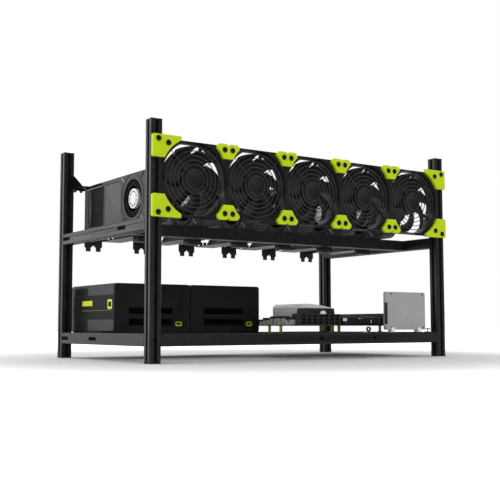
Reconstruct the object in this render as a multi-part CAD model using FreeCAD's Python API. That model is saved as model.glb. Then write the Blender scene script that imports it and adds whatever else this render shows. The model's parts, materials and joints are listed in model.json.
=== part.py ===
import FreeCAD, Part
import math
import os

# Open-air mining rig: a frame of slotted aluminium profiles with five case fans,
# six upright graphics cards on risers, two power supplies, a motherboard and a
# solid state drive. X runs along the front, Y goes back, Z goes up, all in mm.
# The origin is the middle of the footprint at floor level.

Vec = FreeCAD.Vector

# Slotted profile
profile = 20.0
slot_mouth = 6.2
slot_lip = 1.8
slot_width = 11.0
slot_floor = 6.4
slot_depth = 6.0
corner_cut = 1.2
core_bore = 4.2

# Frame
frame_depth = 364.0
frame_height = 383.0
lower_rail_z = 26.5
upper_rail_z = 208.5
card_beam_setback = 92.0
psu_beam_setback = 200.0
tray_beam_step = 8.1
tray_beam_pitch = 123.9

# Case fans
fan_size = 120.0
fan_count = 5
fan_depth = 25.0
fan_lift = 4.0
fan_hole_pitch = 105.0
fan_hole = 4.4
duct_bore = 115.0
duct_sides = 24
motor_plate = 42.0
motor_plate_thickness = 4.4
strut_width = 5.0
plate_sides = 12
hub_sides = 14
strut_lap = 1.0
hub_diameter = 40.0
hub_inset = 4.0
hub_gap = 0.6
shaft_diameter = 3.0
shaft_clearance = 0.04
bore_sides = 12
blade_count = 7
blade_tip = 110.0
blade_root_angle = 24.0
blade_tip_angle = 47.0
blade_sweep = 16.0
blade_thickness = 1.6
blade_margin = 1.2
blade_root_sink = 1.0
gap_bearing = 246.0
guard_ring = 75.0
guard_ring_sides = 10
guard_wire = 1.6
guard_recess = 0.4
guard_legs = 4
seat_gap = 0.3

# Yellow plates in front of the fans
plate_thickness = 6.0
plate_over = 5.0
corner_plate_width = 51.0
corner_plate_height = 36.0
corner_plate_arc = 65.5
corner_plate_steps = 4
corner_plate_round = 2.5
post_screw_inset = 7.0
joint_plate_half = 21.0
joint_plate_height = 24.4
joint_plate_over = 2.4
joint_plate_cut = 4.0
joint_plate_side = 9.0
joint_plate_foot = 8.5
joint_notch = 3.5
screw_hole = 5.2
screw_head = 8.0
screw_head_height = 2.6
screw_shank = 4.0
screw_reach = 9.0
screw_sides = 6
shank_sides = 4
pillar_sides = 6

# Fasteners of the frame
frame_screw_head = 5.0
frame_screw_height = 2.0
pocket_sides = 6
slot_nut_length = 28.0
slot_nut_thickness = 3.0
nut_recess = 1.2
pocket_room = 0.6

# Graphics cards
card_count = 6
card_pitch = 100.0
card_first_x = 29.0
card_rear_setback = 51.0
card_height = 86.0
card_front_setback = 48.0
shroud_thickness = 32.0
shroud_end_cut = 14.0
blower_setback = 120.0
blower_height = 43.1
blower_opening = 66.0
blower_sides = 20
blower_depth = 22.0
blower_diameter = 60.0
blower_hub = 34.0
blower_base = 1.6
blower_vanes = 5
blower_hub_sides = 12
blower_disc_sides = 12
vane_inset = 1.0
vane_length = 6.0
vane_thickness = 1.4
window_start = 24.0
window_length = 62.0
window_margin = 9.0
window_depth = 3.0
card_board_thickness = 1.6
card_board_inset = 1.0
edge_tab_start = 64.0
edge_tab_length = 89.0
edge_tab_drop = 12.0
bracket_width = 35.5
bracket_thickness = 1.2
bracket_foot_z = 196.0
bracket_leg = 9.5
bracket_step = 3.0
bracket_shoulder = 9.0
bracket_heel = 7.0
bracket_notch = 11.5
bracket_tab = 11.0
riser_length = 135.0
riser_width = 40.0
riser_thickness = 1.6
riser_overhang = 21.5
riser_drop = 6.5
socket_width = 7.0
socket_height = 11.0
socket_wall_gap = 0.3
socket_end = 1.0
riser_box_inset = 2.0
riser_box_length = 20.0
riser_box_width = 25.0
riser_box_drop = 8.5

# Rear strip that the card brackets are screwed to
strip_thickness = 2.0
strip_web = 12.0
strip_wing_rise = 21.0
strip_wing_run = 21.0
strip_post_lap = 11.0
strip_setback = 1.0

# Power supplies
psu_width = 150.0
psu_height = 86.0
psu_rear_setback = 2.5
psu_setback = 180.0
psu_inset = 6.5
psu_gap = 2.0
psu_corner = 5.0
socket_band_start = 28.0
socket_band_length = 86.0
socket_band_height = 11.0
socket_band_depth = 2.5
socket_band_low = 13.5
socket_band_high = 33.0
inlet_width = 27.0
inlet_height = 20.0
inlet_depth = 12.0
inlet_offset = 20.0
inlet_rise = 12.0
rocker_step = 14.0
rocker_width = 10.0
rocker_height = 18.0
rocker_gap = 0.4
rocker_depth = 8.0
rocker_proud = 1.2
rocker_pin = 2.0
rocker_pin_clearance = 0.04
rocker_pin_reach = 1.5
rocker_pin_room = 2.0
rocker_end = 1.0
rocker_waist = 1.4
rocker_foot = 2.0
rocker_top_in = 1.6
rocker_lip_in = 0.4
rocker_mid_in = 0.2
rocker_low_in = 1.0

# Motherboard and its parts
board_overhang = 6.6
board_shift = 2.0
board_length = 305.0
board_width = 244.0
board_thickness = 1.6
standoff_height = 11.9
standoff_size = 6.2
standoff_washer = 10.0
standoff_washer_thickness = 1.0
standoff_washer_sides = 6
standoff_seats = (
    ("left", 59.0),
    ("left", 95.0),
    ("right", 41.0),
    ("right", 60.0),
    ("right", 95.0),
    ("side", 112.0),
)
port_heights = (13.0, 15.5, 15.5, 13.0, 10.0)
port_width = 16.0
port_depth = 16.5
port_pitch = 24.0
port_start = 20.0
bank_x = 7.0
bank_start = 1.0
bank_length = 95.0
bank_depth = 14.0
bank_height = 20.0
slot_count = 5
slot_length = 89.0
slot_height = 11.0
board_slot_width = 7.5
board_slot_pitch = 20.3
board_slot_x = 42.0
board_slot_start = 150.0
memory_count = 2
memory_x = 215.0
memory_start = 10.0
memory_length = 134.0
memory_width = 7.0
memory_height = 22.0
memory_pitch = 10.0
sink_x = 17.5
sink_length = 85.0
sink_depth = 26.0
sink_height = 31.0
sink_start = 18.0
sink_slope = 5.0
sink_fins = 9
sink_base = 8.0
sink_fin_share = 0.6
cooler_x = 48.0
cooler_start = 52.0
cooler_width = 76.0
cooler_depth = 92.0
cooler_base = 12.0
cooler_height = 40.0
cooler_round = 8.0

# Solid state drive on the front rail
drive_width = 100.0
drive_height = 69.85
drive_thickness = 7.0
drive_inset = 127.0
drive_lift = 4.6
drive_socket_height = 40.0
drive_socket_depth = 4.0
drive_wall = 1.5
clip_width = 9.0
clip_base = 12.0
clip_wall = 1.6
clip_rise = 4.0
clip_inset = 12.0
loop_inset = 167.0
loop_outer = 9.0
loop_inner = 6.0
loop_width = 4.0
loop_sides = 8
tab_inset = 15.0
tab_width = 6.0
tab_height = 9.0

# Places worked out from the sizes above
frame_width = fan_count * fan_size + 2 * profile
half_width = frame_width / 2
half_profile = profile / 2
front_y = plate_thickness / 2 + screw_head_height / 2 - frame_depth / 2
back_y = front_y + frame_depth
inner_left = -half_width + profile
inner_right = half_width - profile
lower_top = lower_rail_z + profile
upper_top = upper_rail_z + profile
fan_bottom = upper_top + fan_lift
fan_top = fan_bottom + fan_size
fan_mid = fan_bottom + fan_size / 2
duct_turn = 180.0 / duct_sides
hole_inset = (fan_size - fan_hole_pitch) / 2
psu_left_x = inner_left + psu_inset
psu_right_x = psu_left_x + psu_width + psu_gap
tray_beam_left_x = psu_right_x + psu_width + tray_beam_step
tray_beam_right_x = tray_beam_left_x + tray_beam_pitch
board_x = tray_beam_left_x - board_overhang
drive_x = inner_right - drive_inset
card_length = frame_depth - card_front_setback - card_rear_setback
card_front = front_y + card_front_setback
card_back = card_front + card_length
psu_depth = frame_depth - psu_setback - psu_rear_setback
board_front = front_y + (frame_depth - board_width) / 2 + board_shift
loop_x = inner_right - loop_inset


def fan_x(index):
    """Centre of one fan along the front."""
    return inner_left + fan_size * (index + 0.5)


def box(x0, x1, y0, y1, z0, z1):
    """Box between two corners."""
    return Part.makeBox(x1 - x0, y1 - y0, z1 - z0, Vec(x0, y0, z0))


def prism(points, axis, start, end):
    """Prism over a closed outline, given across one axis."""
    across = {
        "x": lambda a, b: Vec(start, a, b),
        "y": lambda a, b: Vec(a, start, b),
        "z": lambda a, b: Vec(a, b, start),
    }[axis]
    along = {"x": Vec(1, 0, 0), "y": Vec(0, 1, 0), "z": Vec(0, 0, 1)}[axis]
    corners = [across(a, b) for a, b in points]
    wire = Part.makePolygon(corners + corners[:1])
    return Part.Face(wire).extrude(along * (end - start))


def ring_points(a, b, diameter, sides, turn=0.0):
    """Corners of a regular outline that stands for a circle."""
    return [
        (
            a + diameter / 2 * math.cos(math.radians(turn) + 2 * math.pi * k / sides),
            b + diameter / 2 * math.sin(math.radians(turn) + 2 * math.pi * k / sides),
        )
        for k in range(sides)
    ]


def rod_y(x, z, diameter, y0, y1):
    """Round rod along Y."""
    return Part.makeCylinder(diameter / 2, y1 - y0, Vec(x, y0, z), Vec(0, 1, 0))


def rod_x(y, z, diameter, x0, x1):
    """Round rod along X."""
    return Part.makeCylinder(diameter / 2, x1 - x0, Vec(x0, y, z), Vec(1, 0, 0))


def bore(a, b, shaft, clearance, axis, start, end):
    """Flat-sided bore whose flats clear a round shaft by the clearance."""
    across = (shaft + 2 * clearance) / math.cos(math.pi / bore_sides)
    return prism(ring_points(a, b, across, bore_sides), axis, start, end)


def joined(first, *others):
    """One solid from pieces that meet."""
    return first.fuse(list(others)).removeSplitter()


def slotted_outline(closed):
    """Outline of the profile: four sides, each with an undercut slot unless it is closed."""
    flat = [(-half_profile + corner_cut, half_profile), (half_profile - corner_cut, half_profile)]
    slotted = [
        (-half_profile + corner_cut, half_profile),
        (-slot_mouth / 2, half_profile),
        (-slot_mouth / 2, half_profile - slot_lip),
        (-slot_width / 2, half_profile - slot_lip),
        (-slot_floor / 2, half_profile - slot_depth),
        (slot_floor / 2, half_profile - slot_depth),
        (slot_width / 2, half_profile - slot_lip),
        (slot_mouth / 2, half_profile - slot_lip),
        (slot_mouth / 2, half_profile),
        (half_profile - corner_cut, half_profile),
    ]
    outline = []
    for quarter in range(4):
        side = flat if quarter in closed else slotted
        c = round(math.cos(-quarter * math.pi / 2))
        s = round(math.sin(-quarter * math.pi / 2))
        outline += [(a * c - b * s, a * s + b * c) for a, b in side]
    return outline


def beam(axis, a, b, start, end, closed=(1, 3)):
    """Length of profile along one axis, centred on a, b across it, closed at its upright sides."""
    return prism([(a + p, b + q) for p, q in slotted_outline(closed)], axis, start, end)


def post(x, y):
    """Upright profile with four slots and a round core bore."""
    body = beam("z", x, y, 0.0, frame_height, ())
    return body.cut(Part.makeCylinder(core_bore / 2, frame_height, Vec(x, y, 0.0)))


def nut_pockets(rail, side, middles, z):
    """A side rail with the pockets of its slot nuts in the outer face."""
    outside = side * half_width
    inside = outside - side * (nut_recess + slot_nut_thickness)
    reach = slot_nut_length / 2 + pocket_room
    rise = slot_mouth / 2
    cuts = [
        box(min(inside, outside), max(inside, outside), y - reach, y + reach, z - rise, z + rise)
        for y in middles
    ]
    return rail.cut(Part.makeCompound(cuts))


def nut_places(beam_setback):
    """Middles of the slot nuts along a side rail: at its beam and next to the rear post."""
    rear = back_y - profile - slot_nut_length / 2 - 2 * pocket_room
    return front_y + beam_setback + half_profile, rear


def frame_beams():
    """Posts, rails and beams."""
    left = -half_width + half_profile
    right = half_width - half_profile
    front = front_y + half_profile
    back = back_y - half_profile
    low = lower_rail_z + half_profile
    high = upper_rail_z + half_profile
    card_y = front_y + card_beam_setback + half_profile
    psu_y = front_y + psu_beam_setback + half_profile
    side_start = front_y + profile
    side_end = back_y - profile
    low_nuts = nut_places(psu_beam_setback)
    high_nuts = nut_places(card_beam_setback)
    return {
        "post_front_left": post(left, front),
        "post_front_right": post(right, front),
        "post_rear_left": post(left, back),
        "post_rear_right": post(right, back),
        "lower_rail_front": front_pockets(beam("x", front, low, inner_left, inner_right), low),
        "lower_rail_rear": beam("x", back, low, inner_left, inner_right),
        "lower_rail_left": nut_pockets(beam("y", left, low, side_start, side_end), -1, low_nuts, low),
        "lower_rail_right": nut_pockets(beam("y", right, low, side_start, side_end), 1, low_nuts, low),
        "upper_rail_left": nut_pockets(beam("y", left, high, side_start, side_end), -1, high_nuts, high),
        "upper_rail_right": nut_pockets(beam("y", right, high, side_start, side_end), 1, high_nuts, high),
        "card_beam": beam("x", card_y, high, inner_left, inner_right),
        "psu_beam": beam("x", psu_y, low, inner_left, tray_beam_left_x - half_profile),
        "tray_beam_left": beam("y", tray_beam_left_x, low, side_start, side_end),
        "tray_beam_right": beam("y", tray_beam_right_x, low, side_start, side_end),
    }


def fan_frame(x):
    """Square fan body with a round duct, four struts and a motor plate."""
    half = fan_size / 2
    end_y = front_y + fan_depth
    body = box(x - half, x + half, front_y, end_y, fan_bottom, fan_top)
    cuts = [prism(ring_points(x, fan_mid, duct_bore, duct_sides, duct_turn), "y", front_y, end_y)]
    for sx in (-1, 1):
        for sz in (-1, 1):
            hole_x = x + sx * fan_hole_pitch / 2
            hole_z = fan_mid + sz * fan_hole_pitch / 2
            cuts.append(prism(ring_points(hole_x, hole_z, fan_hole, screw_sides), "y", front_y, end_y))
    body = body.cut(Part.makeCompound(cuts))
    plate_y = end_y - motor_plate_thickness
    plate = prism(ring_points(x, fan_mid, motor_plate, plate_sides), "y", plate_y, end_y)
    reach = duct_bore / 2 + strut_lap
    struts = []
    for turn in (45.0, -45.0):
        low_z = fan_mid - strut_width / 2
        strut = box(x - reach, x + reach, plate_y, end_y, low_z, low_z + strut_width)
        strut.rotate(Vec(x, 0, fan_mid), Vec(0, 1, 0), turn)
        struts.append(strut)
    shaft_bore = bore(x, fan_mid, shaft_diameter, shaft_clearance, "y", plate_y, end_y)
    return joined(body, plate, *struts).cut(shaft_bore)


def blade_point(radius, angle, y, x):
    """Point at a radius and a bearing seen from the front."""
    turn = math.radians(angle)
    return Vec(x + radius * math.cos(turn), y, fan_mid + radius * math.sin(turn))


def flat_sided(rows):
    """Closed solid with triangular sides from two matching grids, front and back."""
    front, back = rows
    last_row = len(front) - 1
    last_col = len(front[0]) - 1
    quads = []
    for i in range(last_row):
        for j in range(last_col):
            quads.append((front[i][j], front[i][j + 1], front[i + 1][j + 1], front[i + 1][j]))
            quads.append((back[i][j], back[i + 1][j], back[i + 1][j + 1], back[i][j + 1]))
    for i in range(last_row):
        quads.append((front[i][0], front[i + 1][0], back[i + 1][0], back[i][0]))
        quads.append((front[i][last_col], back[i][last_col], back[i + 1][last_col], front[i + 1][last_col]))
    for j in range(last_col):
        quads.append((front[0][j], back[0][j], back[0][j + 1], front[0][j + 1]))
        quads.append((front[last_row][j], front[last_row][j + 1], back[last_row][j + 1], back[last_row][j]))
    faces = []
    for a, b, c, d in quads:
        faces.append(Part.Face(Part.makePolygon([a, b, c, a])))
        faces.append(Part.Face(Part.makePolygon([a, c, d, a])))
    solid = Part.Solid(Part.Shell(faces))
    if solid.Volume < 0:
        solid.reverse()
    return solid


def fan_blade(x, bearing):
    """Pitched and swept blade from the hub to just inside the duct."""
    low_y = front_y + hub_inset + blade_margin
    high_y = front_y + fan_depth - motor_plate_thickness - hub_gap - blade_margin
    radii = (hub_diameter / 2 - blade_root_sink, (hub_diameter + blade_tip) / 4, blade_tip / 2)
    front = []
    back = []
    for step, radius in enumerate(radii):
        share = step / (len(radii) - 1)
        span = blade_root_angle + (blade_tip_angle - blade_root_angle) * share
        middle = bearing + blade_sweep * share * share
        front_row = []
        back_row = []
        for part in (-0.5, 0.5):
            y = (low_y + high_y) / 2 + (high_y - low_y - blade_thickness) * part
            front_row.append(blade_point(radius, middle + span * part, y - blade_thickness / 2, x))
            back_row.append(blade_point(radius, middle + span * part, y + blade_thickness / 2, x))
        front.append(front_row)
        back.append(back_row)
    return flat_sided((front, back))


def fan_rotor(x):
    """Hub with its blades and the shaft that runs in the motor plate."""
    hub_start = front_y + hub_inset
    hub_end = front_y + fan_depth - motor_plate_thickness - hub_gap
    hub_turn = gap_bearing + 180.0 / hub_sides
    hub = prism(ring_points(x, fan_mid, hub_diameter, hub_sides, hub_turn), "y", hub_start, hub_end)
    shaft = rod_y(x, fan_mid, shaft_diameter, hub_end, front_y + fan_depth - seat_gap)
    pitch = 360.0 / blade_count
    blades = [fan_blade(x, gap_bearing + pitch * (k + 0.5)) for k in range(blade_count)]
    return hub.fuse(blades + [shaft])


def fan_guard(x):
    """Guard: a wire ring on legs that end at the wall of the duct."""
    start = front_y + guard_recess
    end = start + guard_wire
    outer = prism(ring_points(x, fan_mid, guard_ring + guard_wire, guard_ring_sides), "y", start, end)
    inner = prism(ring_points(x, fan_mid, guard_ring - guard_wire, guard_ring_sides), "y", start, end)
    pieces = [outer.cut(inner)]
    inside = guard_ring / 2 * math.cos(math.pi / guard_ring_sides)
    reach = duct_bore / 2 * math.cos(math.pi / duct_sides)
    for k in range(guard_legs):
        leg = box(x + inside, x + reach, start, end, fan_mid - guard_wire / 2, fan_mid + guard_wire / 2)
        leg.rotate(Vec(x, 0, fan_mid), Vec(0, 1, 0), 360.0 * (k + 0.5) / guard_legs)
        pieces.append(leg)
    return joined(*pieces)


def screw_holes(body, places):
    """The body with a clearance hole at each screw."""
    y0 = front_y - plate_thickness
    holes = [prism(ring_points(x, z, screw_hole, shank_sides), "y", y0, front_y) for x, z in places]
    return body.cut(Part.makeCompound(holes))


def corner_screws(sx, sz):
    """Post screw and fan screw of one corner plate."""
    edge_z = fan_top + plate_over if sz > 0 else fan_bottom - plate_over
    fan_edge_z = fan_top if sz > 0 else fan_bottom
    return [
        (sx * (half_width - half_profile), edge_z - sz * post_screw_inset),
        (sx * (half_width - profile - hole_inset), fan_edge_z - sz * hole_inset),
    ]


def corner_plate(sx, sz):
    """Plate that ties a post to the outer corner of the end fan."""
    edge_z = fan_top + plate_over if sz > 0 else fan_bottom - plate_over
    y0 = front_y - plate_thickness
    outer = half_width
    foot_z = edge_z - sz * corner_plate_height
    tip_x = outer - corner_plate_width
    centre_x = outer - profile - fan_size / 2
    foot_x = centre_x + math.sqrt(corner_plate_arc ** 2 - (foot_z - fan_mid) ** 2)
    rounding = corner_plate_round
    outline = [
        (tip_x, edge_z),
        (outer - rounding, edge_z),
        (outer, edge_z - sz * rounding),
        (outer, foot_z + sz * rounding),
        (outer - rounding, foot_z),
    ]
    foot_turn = math.acos((foot_x - centre_x) / corner_plate_arc)
    tip_turn = math.acos((tip_x - centre_x) / corner_plate_arc)
    for step in range(corner_plate_steps + 1):
        turn = foot_turn + (tip_turn - foot_turn) * step / corner_plate_steps
        arc_x = centre_x + corner_plate_arc * math.cos(turn)
        arc_z = fan_mid + sz * corner_plate_arc * math.sin(turn)
        outline.append((arc_x, arc_z))
    plate = prism([(sx * a, z) for a, z in outline], "y", y0, front_y)
    return screw_holes(plate, corner_screws(sx, sz))


def joint_screws(x, sz):
    """Two screws of one joint plate, one in each fan."""
    edge = fan_top if sz > 0 else fan_bottom
    return [(x - hole_inset, edge - sz * hole_inset), (x + hole_inset, edge - sz * hole_inset)]


def joint_plate(x, sz):
    """Small plate that ties two neighbouring fans."""
    edge = (fan_top if sz > 0 else fan_bottom) + sz * joint_plate_over
    foot = edge - sz * joint_plate_height
    half = [
        (joint_notch, edge),
        (joint_plate_half - joint_plate_cut, edge),
        (joint_plate_half, edge - sz * joint_plate_cut),
        (joint_plate_half, edge - sz * joint_plate_side),
        (joint_plate_foot, foot),
    ]
    outline = [(x, edge - sz * joint_notch)]
    outline += [(x + a, z) for a, z in half]
    outline += [(x - a, z) for a, z in reversed(half)]
    plate = prism(outline, "y", front_y - plate_thickness, front_y)
    return screw_holes(plate, joint_screws(x, sz))


def all_plate_screws():
    """Places of all screws in the yellow plates."""
    places = []
    for sz in (1, -1):
        for sx in (-1, 1):
            places += corner_screws(sx, sz)
        for index in range(fan_count - 1):
            places += joint_screws(fan_x(index) + fan_size / 2, sz)
    return places


def plate_screw(x, z):
    """Button head screw through a plate into the fan or the post."""
    face_y = front_y - plate_thickness
    head = prism(ring_points(x, z, screw_head, screw_sides), "y", face_y - screw_head_height, face_y)
    shank = prism(ring_points(x, z, screw_shank, shank_sides), "y", face_y, face_y + screw_reach)
    return joined(head, shank)


def frame_screw(x, z):
    """Head of a screw that sits on the floor of a front slot or pocket."""
    floor_y = front_y + slot_depth
    return prism(ring_points(x, z, frame_screw_head, screw_sides), "y", floor_y - frame_screw_height, floor_y)


def front_pockets(rail, z):
    """The front rail with a pocket at the end screw of each beam that stands behind it."""
    pockets = [
        prism(ring_points(x, z, slot_mouth, pocket_sides), "y", front_y, front_y + slot_depth)
        for x in (tray_beam_left_x, tray_beam_right_x)
    ]
    return rail.cut(Part.makeCompound(pockets))


def frame_fasteners():
    """Screw heads in the slots and the slot nuts of the side rails."""
    low = lower_rail_z + half_profile
    high = upper_rail_z + half_profile
    pieces = []
    for x in (-half_width + half_profile, half_width - half_profile, tray_beam_left_x, tray_beam_right_x):
        pieces.append(frame_screw(x, low))
    nuts = {low: nut_places(psu_beam_setback), high: nut_places(card_beam_setback)}
    reach = slot_nut_length / 2
    rise = slot_mouth / 2
    for side in (-1, 1):
        outer = side * (half_width - nut_recess)
        inner = outer - side * slot_nut_thickness
        for z, middles in nuts.items():
            for y in middles:
                pieces.append(box(
                    min(outer, inner), max(outer, inner), y - reach, y + reach, z - rise, z + rise,
                ))
    return Part.makeCompound(pieces)


def card_x(index):
    """Left face of one graphics card."""
    return -half_width + card_first_x + card_pitch * index


def card_shroud(x):
    """Cooler housing with the round blower pocket and the window near the bracket."""
    y0 = card_front
    y1 = y0 + card_length
    z0 = upper_top
    z1 = z0 + card_height
    cut = shroud_end_cut
    outline = [(y0, z0 + cut), (y0 + cut, z0), (y1, z0), (y1, z1), (y0 + cut, z1), (y0, z1 - cut)]
    body = prism(outline, "x", x, x + shroud_thickness)
    centre_y = front_y + blower_setback
    centre_z = z0 + blower_height
    pocket = prism(ring_points(centre_y, centre_z, blower_opening, blower_sides), "x", x, x + blower_depth)
    window = box(
        x, x + window_depth, y1 - window_start - window_length, y1 - window_start,
        z0 + window_margin, z1 - window_margin,
    )
    back = x + shroud_thickness
    shaft_bore = bore(centre_y, centre_z, shaft_diameter, shaft_clearance, "x", x + blower_depth, back)
    return body.cut(pocket).cut(window).cut(shaft_bore)


def blower_rotor(x):
    """Blower wheel: hub, back disc, upright vanes and shaft."""
    y = front_y + blower_setback
    z = upper_top + blower_height
    back = x + blower_depth - hub_gap
    hub = prism(ring_points(y, z, blower_hub, blower_hub_sides), "x", x + hub_gap, back)
    disc = prism(ring_points(y, z, blower_diameter, blower_disc_sides), "x", back - blower_base, back)
    shaft = rod_x(y, z, shaft_diameter, back, x + shroud_thickness - seat_gap)
    inner = blower_diameter / 2 - vane_inset - vane_length
    vanes = []
    for k in range(blower_vanes):
        vane = box(
            x + hub_gap, back - blower_base, y + inner, y + inner + vane_length,
            z - vane_thickness / 2, z + vane_thickness / 2,
        )
        vane.rotate(Vec(0, y, z), Vec(1, 0, 0), 360.0 * k / blower_vanes)
        vanes.append(vane)
    return joined(hub, disc, shaft, *vanes)


def card_board(x):
    """Printed board of a card with the tab that goes into the riser."""
    y1 = card_back
    y0 = card_front + shroud_end_cut
    low = upper_top + card_board_inset
    tab_end = y1 - edge_tab_start
    tab_start = tab_end - edge_tab_length
    board_left = x + shroud_thickness
    outline = [
        (y0, low), (tab_start, low), (tab_start, low - edge_tab_drop), (tab_end, low - edge_tab_drop),
        (tab_end, low), (y1, low), (y1, upper_top + card_height), (y0, upper_top + card_height),
    ]
    return prism(outline, "x", board_left, board_left + card_board_thickness)


def card_bracket(x):
    """Two-slot bracket with its two lower tongues and the upper fold."""
    y0 = card_back
    y1 = y0 + bracket_thickness
    top = upper_top + card_height + bracket_thickness
    foot = bracket_foot_z
    outside = bracket_width / 2 - bracket_step
    inside = outside - bracket_leg
    half = [
        (bracket_width / 2, top),
        (bracket_width / 2, foot + bracket_shoulder),
        (outside, foot + bracket_shoulder - bracket_step),
        (outside, foot),
        (inside, foot),
        (inside, foot + bracket_heel),
    ]
    middle = x + bracket_width / 2
    outline = [(middle + a, z) for a, z in half] + [(middle, foot + bracket_notch)]
    outline += [(middle - a, z) for a, z in reversed(half)]
    plate = prism(outline, "y", y0, y1)
    fold = box(x, x + bracket_width, y1, y1 + bracket_tab, top - bracket_thickness, top)
    return joined(plate, fold)


def riser(x):
    """Riser board under a card: board, slot socket and cable socket."""
    centre = x + shroud_thickness + card_board_thickness / 2
    tab_low = upper_top + card_board_inset - edge_tab_drop
    floor = tab_low - seat_gap
    tab_end = card_back - edge_tab_start
    y1 = tab_end + riser_overhang
    y0 = y1 - riser_length
    base_z = upper_top + card_board_inset - riser_drop - socket_height
    board = box(
        centre - riser_width / 2, centre + riser_width / 2, y0, y1, base_z - riser_thickness, base_z,
    )
    groove = card_board_thickness / 2 + socket_wall_gap
    outline = [
        (centre - socket_width / 2, base_z),
        (centre + socket_width / 2, base_z),
        (centre + socket_width / 2, base_z + socket_height),
        (centre + groove, base_z + socket_height),
        (centre + groove, floor),
        (centre - groove, floor),
        (centre - groove, base_z + socket_height),
        (centre - socket_width / 2, base_z + socket_height),
    ]
    socket = prism(outline, "y", tab_end - edge_tab_length - socket_end, tab_end + socket_end)
    under = base_z - riser_thickness
    cable_socket = box(
        centre - riser_box_width / 2, centre + riser_box_width / 2,
        y0 + riser_box_inset, y0 + riser_box_inset + riser_box_length, under - riser_box_drop, under,
    )
    return [board, socket, cable_socket]


def rear_strip():
    """Folded strip across the rear posts with wings at both ends."""
    bracket_y = card_back + bracket_thickness
    shelf_z = upper_top + card_height + bracket_thickness
    web_front = back_y - profile - strip_thickness
    top = shelf_z + strip_thickness
    end = half_width - profile
    half = [
        (end + strip_post_lap, top - strip_web),
        (end + strip_post_lap, top + strip_wing_rise),
        (end, top + strip_wing_rise),
        (end - strip_wing_run, top),
    ]
    outline = half + [(-a, z) for a, z in reversed(half)]
    web = prism(outline, "y", web_front, back_y - profile)
    shelf = box(inner_left, inner_right, bracket_y + strip_setback, web_front, shelf_z, top)
    return joined(web, shelf)


def psu(x):
    """Power supply housing with two socket rows, the mains inlet and the switch well."""
    y0 = front_y + psu_setback
    y1 = y0 + psu_depth
    z0 = lower_top
    z1 = z0 + psu_height
    c = psu_corner
    x1 = x + psu_width
    outline = [
        (x + c, z0),
        (x1 - c, z0),
        (x1, z0 + c),
        (x1, z1 - c),
        (x1 - c, z1),
        (x + c, z1),
        (x, z1 - c),
        (x, z0 + c),
    ]
    body = prism(outline, "y", y0, y1)
    cutters = []
    for rise in (socket_band_low, socket_band_high):
        cutters.append(box(
            x + socket_band_start, x + socket_band_start + socket_band_length, y0, y0 + socket_band_depth,
            z0 + rise, z0 + rise + socket_band_height,
        ))
    inlet_x = x1 - inlet_offset - inlet_width
    inlet_z = z0 + inlet_rise
    cutters.append(box(inlet_x, inlet_x + inlet_width, y1 - inlet_depth, y1, inlet_z, inlet_z + inlet_height))
    body = body.cut(Part.makeCompound(cutters))
    sx, sz = rocker_centre(x)
    well_x = rocker_width / 2 + rocker_gap
    well_z = rocker_height / 2 + rocker_gap
    body = body.cut(box(sx - well_x, sx + well_x, y1 - rocker_depth, y1, sz - well_z, sz + well_z))
    pin_y = y1 - rocker_depth / 2
    hole_half = well_x + rocker_pin_room
    return body.cut(bore(pin_y, sz, rocker_pin, rocker_pin_clearance, "x", sx - hole_half, sx + hole_half))


def rocker_centre(x):
    """Middle of the mains switch on the back of a power supply."""
    inlet_x = x + psu_width - inlet_offset - inlet_width
    return inlet_x - rocker_step, lower_top + inlet_rise + inlet_height / 2


def psu_rocker(x):
    """Rocker of the mains switch on its pivot pin, pressed in at the top."""
    sx, sz = rocker_centre(x)
    y1 = front_y + psu_setback + psu_depth
    pin_y = y1 - rocker_depth / 2
    half = rocker_height / 2 - rocker_end
    outline = [
        (pin_y - rocker_waist, sz - rocker_foot),
        (pin_y - rocker_waist, sz + rocker_foot),
        (y1 - rocker_top_in, sz + half),
        (y1 - rocker_lip_in, sz + half),
        (y1 - rocker_mid_in, sz),
        (y1 + rocker_proud, sz - half),
        (y1 - rocker_low_in, sz - half),
    ]
    body = prism(outline, "x", sx - rocker_width / 2, sx + rocker_width / 2)
    pin_half = rocker_width / 2 + rocker_gap + rocker_pin_reach
    return joined(body, rod_x(pin_y, sz, rocker_pin, sx - pin_half, sx + pin_half))


def motherboard():
    """Board with its soldered ports, sockets and slots."""
    y0 = board_front
    z0 = lower_top + standoff_height
    z1 = z0 + board_thickness
    x0 = board_x
    pieces = [box(x0, x0 + board_length, y0, y0 + board_width, z0, z1)]
    for k, height in enumerate(port_heights):
        y = y0 + port_start + port_pitch * k
        pieces.append(box(x0, x0 + port_depth, y, y + port_width, z1, z1 + height))
    bank_left = x0 + bank_x
    bank_front = y0 + bank_start
    bank_back = bank_front + bank_depth
    pieces.append(box(bank_left, bank_left + bank_length, bank_front, bank_back, z1, z1 + bank_height))
    for k in range(slot_count):
        y = y0 + board_slot_start + board_slot_pitch * k
        pieces.append(box(
            x0 + board_slot_x, x0 + board_slot_x + slot_length, y, y + board_slot_width, z1, z1 + slot_height,
        ))
    for k in range(memory_count):
        x = x0 + memory_x + memory_pitch * k
        pieces.append(box(
            x, x + memory_width, y0 + memory_start, y0 + memory_start + memory_length, z1, z1 + memory_height,
        ))
    return Part.makeCompound(pieces)


def board_top():
    """Upper face of the motherboard."""
    return lower_top + standoff_height + board_thickness


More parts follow.
